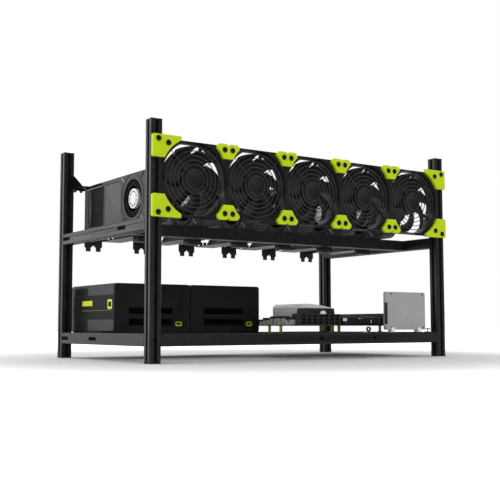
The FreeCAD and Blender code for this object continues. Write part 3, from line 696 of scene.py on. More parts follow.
class Paints:
    """Makes a material of each finish, once."""

    def __init__(self) -> None:
        """Starts with no material made."""
        self.effects = Effects()
        self.made: dict[str, bpy.types.Material] = {}

    def get(self, finish: Finish) -> bpy.types.Material:
        """Material of a finish.

        Args:
            finish: The finish.

        Returns:
            Its material, the same one each time.
        """
        if finish.name in self.made:
            return self.made[finish.name]
        material = bpy.data.materials.new(finish.name)
        material.use_nodes = True
        tree = material.node_tree
        shader = tree.nodes["Principled BSDF"]
        place = tree.nodes.new("ShaderNodeTexCoord")
        grain = self._effect(tree, self.effects.grain, place)
        grain.inputs["Stretch"].default_value = finish.stretch
        grain.inputs["Scale"].default_value = finish.grain
        shape = tree.nodes.new("ShaderNodeNewGeometry")
        wear = self._effect(tree, self.effects.wear, place)
        wear.inputs["Amount"].default_value = finish.wear
        tree.links.new(shape.outputs["Pointiness"], wear.inputs["Pointiness"])
        dust = self._effect(tree, self.effects.dust, place)
        dust.inputs["Amount"].default_value = finish.dust
        tree.links.new(shape.outputs["Normal"], dust.inputs["Facing"])
        base = self._mix(tree, grain.outputs["Mask"], (*finish.colour, 1.0), (*finish.second, 1.0))
        rubbed = self._mix(tree, wear.outputs["Mask"], base.outputs[2], (*finish.worn, 1.0))
        dusty = self._mix(tree, dust.outputs["Mask"], rubbed.outputs[2], (0.45, 0.44, 0.42, 1.0))
        tree.links.new(dusty.outputs[2], shader.inputs["Base Color"])
        gloss = tree.nodes.new("ShaderNodeMapRange")
        gloss.inputs["From Min"].default_value = 0.1
        gloss.inputs["From Max"].default_value = 0.45
        gloss.inputs["To Min"].default_value = max(finish.roughness - finish.spread, 0.03)
        gloss.inputs["To Max"].default_value = finish.roughness + finish.spread
        tree.links.new(grain.outputs["Gloss"], gloss.inputs["Value"])
        tree.links.new(gloss.outputs[0], shader.inputs["Roughness"])
        bump = tree.nodes.new("ShaderNodeBump")
        bump.inputs["Strength"].default_value = finish.bump
        bump.inputs["Distance"].default_value = finish.depth
        tree.links.new(grain.outputs["Height"], bump.inputs["Height"])
        tree.links.new(bump.outputs[0], shader.inputs["Normal"])
        shader.inputs["Metallic"].default_value = finish.metallic
        shader.inputs["Specular IOR Level"].default_value = finish.specular
        self.made[finish.name] = material
        return material

    @staticmethod
    def _effect(tree: bpy.types.NodeTree, group: bpy.types.NodeTree, place: bpy.types.Node) -> bpy.types.Node:
        """Puts a shared effect in a material, on object coordinates."""
        node = tree.nodes.new("ShaderNodeGroup")
        node.node_tree = group
        tree.links.new(place.outputs["Object"], node.inputs["Vector"])
        return node

    @staticmethod
    def _mix(tree: bpy.types.NodeTree, factor: bpy.types.NodeSocket, first: object, second: object) -> bpy.types.Node:
        """Mixes two colours, each a socket or a plain value."""
        node = tree.nodes.new("ShaderNodeMix")
        node.data_type = "RGBA"
        tree.links.new(factor, node.inputs[0])
        for slot, value in ((6, first), (7, second)):
            if isinstance(value, bpy.types.NodeSocket):
                tree.links.new(value, node.inputs[slot])
            else:
                node.inputs[slot].default_value = value
        return node


ANODISED = Finish("black_anodised", (0.0045, 0.0045, 0.0047), (0.007, 0.007, 0.0072), 0.32, 0.05, specular=0.25,
                  wear=0.3, bump=0.08,
                  grain=1400.0, worn=(0.1, 0.1, 0.1), dust=0.0)
# Slot nut black, darkened further with almost no gloss so that the nuts in their pockets stay black under the lamps:
# black nuts with painted shade of the pockets. The power supply socket cells and the card's edge blocks take the same
# darkened black.
NUT_BLACK_AND_SHADE = Finish("slot_nut_black_and_painted_shade", (0.002, 0.002, 0.002), (0.003, 0.003, 0.003), 0.7, 0.06, specular=0.02, wear=0.0,
                   dust=0.0)
FAN_BLACK = Finish("fan_plastic_black", (0.011, 0.011, 0.0115), (0.015, 0.015, 0.0155), 0.45, 0.08, specular=0.2,
                   wear=0.2, grain=1600.0,
                   bump=0.3, dust=0.02)
ROTOR_BLACK = Finish("rotor_plastic_black", (0.014, 0.014, 0.0145), (0.02, 0.02, 0.0205), 0.38, 0.08, specular=0.3,
                     wear=0.2, grain=1200.0,
                     dust=0.02)
WIRE_BLACK = Finish("coated_wire", (0.02, 0.02, 0.02), (0.028, 0.028, 0.028), 0.3, 0.06, specular=0.45, grain=700.0,
                    dust=0.0)
LIME = Finish("lime_plate", (0.55, 0.71, 0.003), (0.59, 0.75, 0.005), 0.42, 0.06, specular=0.2, grain=1100.0,
              bump=0.12,
              wear=0.12, worn=(0.75, 0.86, 0.25), dust=0.0)
SCREW_BLACK = Finish("black_oxide", (0.006, 0.006, 0.007), (0.01, 0.01, 0.011), 0.32, 0.08, specular=0.3, grain=900.0,
                     wear=0.1, dust=0.0)
SHROUD_GREY = Finish("shroud_grey", (0.044, 0.044, 0.045), (0.051, 0.051, 0.052), 0.42, 0.06, specular=0.14,
                     grain=1800.0,
                     stretch=(1.0, 0.06, 1.0), bump=0.2, worn=(0.3, 0.3, 0.3), dust=0.02)
SHROUD_DARK = Finish("shroud_black", (0.004, 0.004, 0.005), (0.007, 0.007, 0.008), 0.5, 0.06, specular=0.1, wear=0.0,
                     dust=0.0)
WINDOW_DARK = Finish("dark_window", (0.005, 0.005, 0.0055), (0.008, 0.008, 0.0085), 0.35, 0.04, specular=0.06,
                     wear=0.0, bump=0.02, dust=0.0)
BLOWER_BLACK = Finish("blower_black", (0.005, 0.005, 0.005), (0.008, 0.008, 0.008), 0.45, 0.08, specular=0.12,
                      wear=0.1, dust=0.0)
HUB_WHITE = Finish("hub_white", (0.84, 0.84, 0.84), (0.9, 0.9, 0.9), 0.4, 0.06, grain=600.0, wear=0.0, dust=0.0)
BOARD_BLACK = Finish("board_black", (0.012, 0.013, 0.012), (0.02, 0.021, 0.019), 0.4, 0.08, specular=0.3, grain=350.0,
                     bump=0.25)
BOARD_PART = Finish("board_part", (0.05, 0.05, 0.052), (0.075, 0.074, 0.07), 0.4, 0.08, specular=0.35, grain=700.0,
                    dust=0.02)
BRACKET_DARK = Finish("bracket_dark", (0.022, 0.022, 0.022), (0.03, 0.03, 0.03), 0.4, 0.08, specular=0.2, wear=0.3,
                      dust=0.02)
SOCKET_BLACK = Finish("socket_black", (0.008, 0.008, 0.008), (0.013, 0.013, 0.013), 0.45, 0.08, specular=0.3,
                      grain=1500.0, dust=0.02)
PSU_BLACK = Finish("textured_black", (0.0078, 0.0078, 0.008), (0.0105, 0.0105, 0.0107), 0.5, 0.06, specular=0.3,
                   grain=1900.0,
                   bump=0.5, wear=0.3, dust=0.02)
PSU_GREY = Finish("side_panel_grey", (0.028, 0.028, 0.028), (0.034, 0.034, 0.034), 0.42, 0.06, specular=0.1,
                  grain=1500.0, dust=0.0)
LABEL_DARK = Finish("label_charcoal", (0.010, 0.0095, 0.0115), (0.014, 0.0135, 0.0155), 0.45, 0.05, specular=0.05,
                    grain=500.0, bump=0.02,
                    wear=0.0, dust=0.0)
MARK_YELLOW = Finish("printed_yellow", (0.62, 0.66, 0.01), (0.7, 0.72, 0.02), 0.4, 0.05, specular=0.2, bump=0.02,
                     wear=0.0, dust=0.0)
LINE_OLIVE = Finish("printed_olive", (0.14, 0.16, 0.01), (0.18, 0.2, 0.015), 0.45, 0.05, specular=0.1, bump=0.02,
                    wear=0.0, dust=0.0)
# Dim olive of the thin painted highlight lines beside the socket rows on the power supply fronts.
OLIVE_HIGHLIGHT = Finish("painted_highlight_olive", (0.026, 0.028, 0.01), (0.032, 0.034, 0.012), 0.45, 0.05, specular=0.1, bump=0.02,
                  wear=0.0, dust=0.0)
MARK_GREEN = Finish("printed_lime", (0.36, 0.5, 0.01), (0.42, 0.56, 0.015), 0.4, 0.05, specular=0.2, bump=0.02,
                    wear=0.0, dust=0.0)
STEEL = Finish("plated_steel", (0.64, 0.64, 0.62), (0.8, 0.8, 0.77), 0.36, 0.08, metallic=0.3, grain=800.0,
               worn=(0.8, 0.8, 0.8), dust=0.0)
SINK_BLACK = Finish("anodised_sink", (0.024, 0.024, 0.025), (0.034, 0.034, 0.035), 0.38, 0.08, grain=1200.0,
                    dust=0.02)
COVER_PALE = Finish("pale_cover", (0.94, 0.94, 0.945), (0.97, 0.97, 0.975), 0.36, 0.06, grain=500.0, bump=0.04,
                    wear=0.0, dust=0.0)
BRASS_LIME = Finish("lime_brass", (0.42, 0.44, 0.02), (0.52, 0.52, 0.04), 0.34, 0.08, metallic=0.2, grain=900.0,
                    worn=(0.7, 0.7, 0.3), dust=0.0)
DRIVE_GREY = Finish("drive_grey", (0.40, 0.39, 0.395), (0.44, 0.43, 0.435), 0.42, 0.06, metallic=0.1, specular=0.4,
                    grain=2200.0,
                    bump=0.3, worn=(0.6, 0.6, 0.6), dust=0.0)
CLIP_PALE = Finish("pale_clip", (0.9, 0.9, 0.9), (0.94, 0.94, 0.94), 0.35, 0.06, dust=0.0)


class Dresser:
    """Puts finished meshes into the scene and on their bodies."""

    def __init__(self, frame: dict) -> None:
        """Keeps the loaded frame and the shared helpers.
        """
        self.nodes = frame["nodes"]
        self.paints = Paints()
        self.repeats = Repeats()
        self.count = 0

    def copy_of(self, node: str) -> bpy.types.Mesh:
        """Merged copy of a CAD node's mesh."""
        mesh = self.nodes[node].data.copy()
        work = bmesh.new()
        work.from_mesh(mesh)
        bmesh.ops.remove_doubles(work, verts=work.verts, dist=0.000001)
        bmesh.ops.dissolve_limit(work, angle_limit=0.002, verts=work.verts, edges=work.edges)
        bmesh.ops.recalc_face_normals(work, faces=work.faces)
        work.to_mesh(mesh)
        work.free()
        return mesh

    def span(self, node: str) -> tuple[list[float], list[float]]:
        """Low and high corner of a CAD node, in millimetres."""
        thing = self.nodes[node]
        points = [thing.matrix_world @ v.co for v in thing.data.vertices]
        return [min(p[k] for p in points) / MM for k in range(3)], [max(p[k] for p in points) / MM for k in range(3)]

    def add(self, name: str, mesh: bpy.types.Mesh, finish: Finish, slot: str, body: str = "rig",
            stands_for: Sequence[str] = ()) -> bpy.types.Object:
        """Adds one piece.

        Args:
            name: Name of the piece.
            mesh: Its mesh, in place and in metres.
            finish: Its finish.
            slot: Material slot of the record; not used.
            body: Body that it moves with.
            stands_for: CAD nodes that it replaces.

        Returns:
            The object.
        """
        mesh.materials.clear()
        mesh.materials.append(self.paints.get(finish))
        piece = bpy.data.objects.new(name, mesh)
        bpy.context.scene.collection.objects.link(piece)
        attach(piece, body)
        if stands_for:
            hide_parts(*stands_for)
        self.count += 1
        LOG.info("%s: %d faces on %s", name, len(mesh.polygons), body)
        return piece

    def coat(self, finish: Finish, *nodes: str) -> None:
        """Gives CAD nodes that stay their finish."""
        for node in nodes:
            for slot in self.nodes[node].material_slots:
                slot.material = self.paints.get(finish)
            LOG.info("%s: finished as %s", node, finish.name)


@dataclass
class Studio:
    """Camera, light and floor."""

    place: Triple = (-0.977501, -1.417609, 0.057694)
    yaw: float = 0.597171
    pitch: float = 0.08375
    roll: float = -0.001274
    lens: float = 65.397
    sensor: float = 36.0
    reach: float = 40.0
    ambient: float = 0.92
    key_power: float = 34.0
    key_place: Triple = (-2.2, 1.9, 1.5)
    key_size: float = 3.2
    target: Triple = (0.0, 0.0, 0.15)
    floor_size: float = 16.0

    def build(self) -> None:
        """Makes the studio."""
        self._camera()
        self._world()
        self._key()
        self._floor()

    def _camera(self) -> None:
        """Camera at the view that the photo was taken from."""
        data = bpy.data.cameras.new("camera")
        data.lens = self.lens
        data.sensor_fit = "HORIZONTAL"
        data.sensor_width = self.sensor
        data.clip_end = self.reach
        camera = bpy.data.objects.new("camera", data)
        bpy.context.scene.collection.objects.link(camera)
        turn = Matrix.Rotation(-self.yaw, 4, "Z") @ Matrix.Rotation(math.pi / 2 + self.pitch, 4, "X")
        camera.matrix_world = Matrix.Translation(self.place) @ turn @ Matrix.Rotation(self.roll, 4, "Z")
        bpy.context.scene.camera = camera

    def _world(self) -> None:
        """White surroundings, darker for reflections on the side that the camera stands on."""
        world = bpy.data.worlds.new("studio")
        world.use_nodes = True
        bpy.context.scene.world = world
        tree = world.node_tree
        light = tree.nodes["Background"]
        path = tree.nodes.new("ShaderNodeLightPath")
        around = tree.nodes.new("ShaderNodeTexCoord")
        parts = tree.nodes.new("ShaderNodeSeparateXYZ")
        side = tree.nodes.new("ShaderNodeMapRange")
        side.inputs["From Min"].default_value = -0.75
        side.inputs["From Max"].default_value = 0.1
        side.inputs["To Min"].default_value = 0.0
        side.inputs["To Max"].default_value = 1.0
        tree.links.new(around.outputs["Generated"], parts.inputs[0])
        tree.links.new(parts.outputs["Y"], side.inputs["Value"])
        last: object = self.ambient
        for ray, value in (("Is Glossy Ray", side.outputs[0]), ("Is Transmission Ray", 1.0), ("Is Camera Ray", 1.0)):
            mix = tree.nodes.new("ShaderNodeMix")
            tree.links.new(path.outputs[ray], mix.inputs[0])
            for slot, given in ((2, last), (3, value)):
                if isinstance(given, bpy.types.NodeSocket):
                    tree.links.new(given, mix.inputs[slot])
                else:
                    mix.inputs[slot].default_value = given
            last = mix.outputs[0]
        tree.links.new(last, light.inputs["Strength"])
        light.inputs["Color"].default_value = (1.0, 1.0, 1.0, 1.0)
        bpy.context.scene.view_settings.view_transform = "Standard"

    def _key(self) -> None:
        """Soft lamp from the left."""
        data = bpy.data.lights.new("key", "AREA")
        data.energy = self.key_power
        data.size = self.key_size
        lamp = bpy.data.objects.new("key", data)
        bpy.context.scene.collection.objects.link(lamp)
        lamp.location = self.key_place
        lamp.rotation_euler = (Vector(self.target) - Vector(self.key_place)).to_track_quat("-Z", "Y").to_euler()
        lamp.visible_camera = False

    def _floor(self) -> None:
        """Pale floor that keeps the shadow of the rig."""
        half = self.floor_size / 2
        mesh = bpy.data.meshes.new("studio_floor")
        mesh.from_pydata([(-half, -half, 0), (half, -half, 0), (half, half, 0), (-half, half, 0)], [], [(0, 1, 2, 3)])
        floor = bpy.data.objects.new("studio_floor", mesh)
        bpy.context.scene.collection.objects.link(floor)
        material = bpy.data.materials.new("studio_floor")
        material.use_nodes = True
        tree = material.node_tree
        shader = tree.nodes["Principled BSDF"]
        place = tree.nodes.new("ShaderNodeTexCoord")
        noise = tree.nodes.new("ShaderNodeTexNoise")
        noise.inputs["Scale"].default_value = 3.0
        tone = tree.nodes.new("ShaderNodeMapRange")
        tone.inputs["To Min"].default_value = 0.79
        tone.inputs["To Max"].default_value = 0.81
        tree.links.new(place.outputs["Object"], noise.inputs["Vector"])
        tree.links.new(noise.outputs[0], tone.inputs["Value"])
        tree.links.new(tone.outputs[0], shader.inputs["Base Color"])
        shader.inputs["Roughness"].default_value = 0.9
        shader.inputs["Specular IOR Level"].default_value = 0.1
        path = tree.nodes.new("ShaderNodeLightPath")
        away = tree.nodes.new("ShaderNodeVectorMath")
        away.operation = "LENGTH"
        tree.links.new(place.outputs["Object"], away.inputs[0])
        fade = tree.nodes.new("ShaderNodeMapRange")
        fade.interpolation_type = "SMOOTHSTEP"
        for slot, value in (("From Min", 0.4), ("From Max", 0.95), ("To Min", 0.0), ("To Max", 0.8)):
            fade.inputs[slot].default_value = value
        tree.links.new(away.outputs["Value"], fade.inputs["Value"])
        lift = tree.nodes.new("ShaderNodeMath")
        lift.operation = "MULTIPLY"
        tree.links.new(path.outputs["Is Camera Ray"], lift.inputs[0])
        tree.links.new(fade.outputs[0], lift.inputs[1])
        tree.links.new(lift.outputs[0], shader.inputs["Emission Strength"])
        shader.inputs["Emission Color"].default_value = (1.0, 1.0, 1.0, 1.0)
        mesh.materials.append(material)


@dataclass
class SlotFrame:
    """Posts, rails and beams of slotted profile with their nuts and the rear strip."""

    posts: tuple[str, ...] = ("post_front_left", "post_front_right", "post_rear_left", "post_rear_right")
    rails: tuple[str, ...] = (
        "lower_rail_front", "lower_rail_rear", "lower_rail_left", "lower_rail_right", "upper_rail_left",
        "upper_rail_right",
        "card_beam", "psu_beam", "tray_beam_left", "tray_beam_right",
    )
    seamed: tuple[str, ...] = ("upper_rail_left", "upper_rail_right")
    seam_z: float = 220.2
    seam_width: float = 1.1
    seam_depth: float = 1.2
    outer: float = 320.0
    seam_start: float = -157.7
    seam_end: float = 166.3
    post_x: float = 310.0
    post_y: tuple[float, float] = (-167.7, 176.3)
    post_top: float = 383.0
    cap_half: float = 9.9
    cap_height: float = 3.0
    strip_low: float = 312.2
    strip_screw_y: float = 152.0

    def dress(self, shop: Dresser) -> None:
        """Gives the frame its finishes."""
        shop.coat(ANODISED, *self.posts, *[rail for rail in self.rails if rail not in self.seamed])
        under = Solid().block(-self.outer - 1, self.outer + 1, 130.0, 170.0, self.strip_low - 12, self.strip_low)
        shop.add("rear_strip_cut", eased(carved(shop.copy_of("rear_card_strip"), [under]), 0.25, 1), SHROUD_DARK,
                 "frame_black",
                 "rig", ["rear_card_strip"])
        # Nuts in the rail pockets: black nuts with the pockets' painted shade.
        shop.coat(NUT_BLACK_AND_SHADE, "frame_fasteners")
        shop.coat(BRASS_LIME, "standoffs")
        for rail, side in zip(self.seamed, (-1, 1)):
            near, far = sorted((side * (self.outer - self.seam_depth), side * (self.outer + 1)))
            seam = Solid().block(near, far, self.seam_start, self.seam_end, self.seam_z,
                                 self.seam_z + self.seam_width)
            mesh = eased(carved(shop.copy_of(rail), [seam]), 0.25, 1)
            shop.add("%s_seamed" % rail, mesh, ANODISED, "frame_black", "rig", [rail])
        cap = Solid().slab([rounded(-self.cap_half, self.cap_half, -self.cap_half, self.cap_half, 1.2)], Across.Z,
                           self.post_top - self.cap_height, self.post_top - 0.08)
        spots = [(side * self.post_x, y, 0.0) for side in (-1, 1) for y in self.post_y]
        caps = shop.repeats.placed(cap.mesh("cap", 0.3, 2), spots, shop.paints.get(FAN_BLACK))
        shop.add("post_end_caps", caps, FAN_BLACK, "frame_black")
        stud = Solid().lathe([(0, -5.8), (2.0, -5.8), (2.4, -5.4), (2.4, -2.8), (4.0, -2.8), (4.0, 0.05), (0, 0.05)],
                             Across.Z, 0, 0, 20)
        spots = [(-300.0 + 100.0 * k + dx, self.strip_screw_y, self.strip_low) for k in range(6) for dx in (-4.0,
                                                                                                            8.0)]
        studs = shop.repeats.placed(stud.mesh("stud"), spots, shop.paints.get(SCREW_BLACK))
        shop.add("strip_screws", studs, SCREW_BLACK, "frame_black")


@dataclass
class CaseFan:
    """A 120 mm fan: frame with struts, rotor with swept blades, and ring guard."""

    size: float = 120.0
    pitch: float = 120.0
    count: int = 5
    first_x: float = -240.0
    mid_z: float = 292.5
    front: float = -177.7
    depth: float = 25.0
    corner: float = 3.0
    flange: float = 4.0
    duct: float = 60.3
    duct_flat: float = 58.8
    duct_wall: float = 1.1
    hole_reach: float = 52.5
    hole: float = 2.2
    boss: float = 4.4
    motor_plate: float = 23.5
    motor_thickness: float = 4.4
    strut: float = 2.6
    strut_turn: float = 67.5
    shaft: float = 1.5
    hub: float = 22.0
    root: float = 19.0
    hub_inset: float = 4.0
    hub_end: float = 20.0
    blades: int = 7
    tip: float = 55.0
    first_bearing: float = 30.5
    root_span: float = 58.0
    tip_span: float = 37.0
    sweep: float = -33.0
    camber: float = 0.6
    thickness: float = 1.5
    margin: float = 1.2
    ring_first: float = 16.2
    ring_pitch: float = 7.4
    rings: int = 6
    wire: float = 0.8
    wire_inset: float = 1.2

    def _mouth(self, over: float) -> list[Pair]:
        """Round opening, flat where the frame is narrowest, grown by a margin."""
        flat = self.duct_flat + over
        return [(max(min(a, flat), -flat), max(min(b, flat), -flat)) for a, b in circle(0, 0, self.duct + over, 96)]

    def _frame(self) -> bpy.types.Mesh:
        """Frame with its duct, open corners, struts and motor plate."""
        half = self.size / 2
        back = self.front + self.depth
        corners = [(a * self.hole_reach, b * self.hole_reach) for a in (-1, 1) for b in (-1, 1)]
        solid = Solid()
        for start in (self.front, back - self.flange):
            outlines = [rounded(-half, half, -half, half, self.corner), self._mouth(0.1)]
            outlines += [circle(a, b, self.hole, 16) for a, b in corners]
            solid.slab(outlines, Across.Y, start, start + self.flange)
        for a, b in corners:
            outlines = [circle(a, b, self.boss, 20), circle(a, b, self.hole, 16)]
            solid.slab(outlines, Across.Y, self.front + self.flange, back - self.flange)
        solid.slab([self._mouth(self.duct_wall), self._mouth(0.0)], Across.Y, self.front + 0.4, back - 0.4)
        plate = back - self.motor_thickness
        solid.slab([circle(0, 0, self.motor_plate, 48), circle(0, 0, self.shaft + 0.08, 16)], Across.Y, plate, back)
        for quarter in range(4):
            turn = math.radians(self.strut_turn + 90 * quarter)
            c, s = math.cos(turn), math.sin(turn)
            strut = [(r * c - w * s, r * s + w * c) for r, w in (
                (self.motor_plate - 1, -self.strut), (self.duct_flat + 0.6, -self.strut),
                (self.duct_flat + 0.6, self.strut),
                (self.motor_plate - 1, self.strut))]
            solid.slab([strut], Across.Y, plate + 0.2, back - 0.2)
        return solid.mesh("fan_frame", 0.45, 2)

    def _hub(self) -> bpy.types.Mesh:
        """Hub with its shaft."""
        y0 = self.front + self.hub_inset
        y1 = self.front + self.hub_end
        solid = Solid().lathe([
            (0, y0 + 0.5), (12.5, y0 + 0.5), (13.0, y0), (self.hub - 1.6, y0), (self.hub - 0.4, y0 + 0.5),
            (self.hub, y0 + 1.8),
            (self.hub, y1), (0, y1),
        ], Across.Y, 0, 0, 64)
        solid.disc(Across.Y, 0, 0, self.shaft - 0.02, y1, self.front + self.depth - 0.3, 24)
        return solid.mesh("hub", 0.2, 1)

    def _blade(self) -> bpy.types.Mesh:
        """One swept blade with a curved section."""
        low = self.front + self.hub_inset + self.margin
        high = self.front + self.hub_end - self.margin
        rows: list[list[Vector]] = []
        for side in (-0.5, 0.5):
            for step in range(8):
                share = step / 7
                radius = self.root + (self.tip - self.root) * share
                span = self.root_span + (self.tip_span - self.root_span) * share
                middle = self.first_bearing + self.sweep * share * share
                row = []
                for column in range(13):
                    part = column / 12 - 0.5
                    thick = self.thickness * (0.35 + 0.65 * math.sqrt(max(1 - 4 * part * part, 0)))
                    y = (low + high) / 2 + (high - low - self.thickness) * part - self.camber * (1 - 4 * part * part)
                    angle = math.radians(middle + span * part)
                    row.append(Vector((radius * math.cos(angle), y + thick * side, radius * math.sin(angle))))
                rows.append(row)
        return Solid().skin(rows).mesh("blade")

    def dress(self, shop: Dresser) -> None:
        """Adds the five fans."""
        frame = self._frame()
        hub = self._hub()
        step = (0.0, 2 * math.pi / self.blades, 0.0)
        blades = shop.repeats.turned(self._blade(), self.blades, step, shop.paints.get(ROTOR_BLACK))
        rings = shop.repeats.rings(self.rings, self.ring_first, self.ring_pitch, self.wire,
                                   shop.paints.get(WIRE_BLACK))
        legs = Solid()
        behind = 2 * self.wire - 0.2
        for turn in (45, 135, 225, 315):
            c, s = math.cos(math.radians(turn)), math.sin(math.radians(turn))
            legs.rod([(r * c, behind, r * s) for r in (self.ring_first - 1.5, 40.0, self.duct - 0.2)],
                     self.wire * 0.9)
        leg_mesh = legs.mesh("legs")
        for mesh in (blades, rings):
            mesh.shade_smooth()
            mesh.set_sharp_from_angle(angle=math.radians(40))
        for index in range(self.count):
            x = self.first_x + self.pitch * index
            wire_y = self.front + self.wire_inset
            number = index + 1
            rotor = "fan_rotor_%d" % number
            shop.add("fan_case_%d" % number, moved(frame, x, 0, self.mid_z), FAN_BLACK, "fan_plastic", "rig",
                     ["fan_frame_%d" % number])
            shop.add("fan_hub_%d" % number, moved(hub, x, 0, self.mid_z), ROTOR_BLACK, "rotor_plastic", rotor,
                     [rotor])
            shop.add("fan_blades_%d" % number, moved(blades, x, 0, self.mid_z), ROTOR_BLACK, "rotor_plastic", rotor)
            shop.add("guard_rings_%d" % number, moved(rings, x, wire_y, self.mid_z), WIRE_BLACK, "guard_wire", "rig",
                     ["fan_guard_%d" % number])
            shop.add("guard_legs_%d" % number, moved(leg_mesh, x, wire_y, self.mid_z), WIRE_BLACK, "guard_wire")


@dataclass
class PlateSet:
    """Yellow-green plates that tie the fans to each other and to the posts, with their screws."""

    front: float = -183.7
    thickness: float = 6.0
    outer: float = 320.0
    top: float = 352.5
    bottom: float = 232.5
    over: float = 5.0
    width: float = 51.0
    height: float = 36.0
    arc: float = 65.5
    centre_x: float = 240.0
    centre_z: float = 292.5
    hole_inset: float = 7.5
    post_screw: float = 310.0
    post_inset: float = 7.0
    joints: tuple[float, ...] = (-180.0, -60.0, 60.0, 180.0)
    bevel: float = 0.7
    head: float = 4.7
    head_height: float = 2.6
    socket: float = 1.5

    def _corner(self, sx: int, sz: int) -> list[Pair]:
        """Outline of a corner plate."""
        edge = self.top + self.over if sz > 0 else self.bottom - self.over
        foot = edge - sz * self.height
        tip = self.outer - self.width
        a0 = math.acos((tip - self.centre_x) / self.arc)
        a1 = math.asin(abs(foot - self.centre_z) / self.arc)
        outline = rounded(tip, self.outer, min(edge, foot), max(edge, foot), 2.5)
        keep = [p for p in outline if p[0] > self.outer - 3 or (p[0] < tip + 3 and abs(p[1] - edge) < 3)]
        keep = [p for p in keep if p[0] > tip + 3] + [(tip, edge)]
        arc = [(self.centre_x + self.arc * math.cos(a0 + (a1 - a0) * k / 14),
                self.centre_z + sz * self.arc * math.sin(a0 + (a1 - a0) * k / 14)) for k in range(15)]
        points = keep + arc if sz > 0 else [(tip, edge)] + [p for p in keep if p[0] > tip + 3] + arc[::-1]
        return [(sx * a, b) for a, b in points]

    def _joint(self, x: float, sz: int) -> list[Pair]:
        """Outline of a joint plate."""
        edge = (self.top if sz > 0 else self.bottom) + sz * 2.4
        half = [(3.5, edge), (17.0, edge), (21.0, edge - sz * 4), (21.0, edge - sz * 8.0), (16.6, edge - sz * 12.4),
                (13.0, edge - sz * 17.0), (10.2, edge - sz * 22.4), (9.2, edge - sz * 24.4)]
        return [(x, edge - sz * 3.5)] + [(x + a, b) for a, b in half] + [(x - a, b) for a, b in reversed(half)]

    def _places(self) -> tuple[list[Pair], list[Pair]]:
        """Places of the screws in the corner plates and in the joint plates."""
        corner, joint = [], []
        for sz in (1, -1):
            edge = self.top + self.over if sz > 0 else self.bottom - self.over
            fan = self.top if sz > 0 else self.bottom
            for sx in (-1, 1):
                corner.append((sx * self.post_screw, edge - sz * self.post_inset))
                corner.append((sx * (300.0 - self.hole_inset), fan - sz * self.hole_inset))
            for x in self.joints:
                joint += [(x - self.hole_inset, fan - sz * self.hole_inset),
                          (x + self.hole_inset, fan - sz * self.hole_inset)]
        return corner, joint

    def _screw(self) -> bpy.types.Mesh:
        """Button head with a six-sided socket."""
        face = self.front
        top = face - self.head_height
        solid = Solid().lathe([
            (0, face), (self.head, face), (self.head, face - 0.5), (self.head - 0.45, face - 1.3),
            (self.head - 1.3, face - 2.1),
            (self.head - 2.1, top + 0.12), (self.socket + 0.25, top + 0.02), (self.socket + 0.2, face - 1.0),
            (0, face - 1.0),
        ], Across.Y, 0, 0, 32)
        solid.slab([circle(0, 0, self.socket + 0.3, 24), circle(0, 0, self.socket, 6)], Across.Y, top + 0.15,
                   face - 0.9)
        solid.disc(Across.Y, 0, 0, 1.9, face, face + 9.0, 16)
        return solid.mesh("screw")

    def dress(self, shop: Dresser) -> None:
        """Adds the plates and the screws."""
        corner, joint = self._places()
        back = self.front + self.thickness
        plates = Solid()
        for sx in (-1, 1):
            for sz in (1, -1):
                mine = [p for p in corner if p[0] * sx > 0 and (p[1] - self.centre_z) * sz > 0]
                plates.slab([self._corner(sx, sz)] + [circle(a, b, 2.6, 16) for a, b in mine], Across.Y, self.front,
                            back)
        shop.add("corner_plates_dressed", plates.mesh("corner", self.bevel, 3), LIME, "plate_yellow", "rig",
                 ["corner_plates"])
        ties = Solid()
        for x in self.joints:
            for sz in (1, -1):
                mine = [p for p in joint if abs(p[0] - x) < 20 and (p[1] - self.centre_z) * sz > 0]
                ties.slab([self._joint(x, sz)] + [circle(a, b, 2.6, 16) for a, b in mine], Across.Y, self.front, back)
        shop.add("joint_plates_dressed", ties.mesh("joint", self.bevel, 3), LIME, "plate_yellow", "rig",
                 ["joint_plates"])
        points = [(a, 0.0, b) for a, b in corner + joint]
        screws = shop.repeats.placed(self._screw(), points, shop.paints.get(SCREW_BLACK))
        shop.add("button_screws", screws, SCREW_BLACK, "screw_black", "rig", ["plate_screws"])


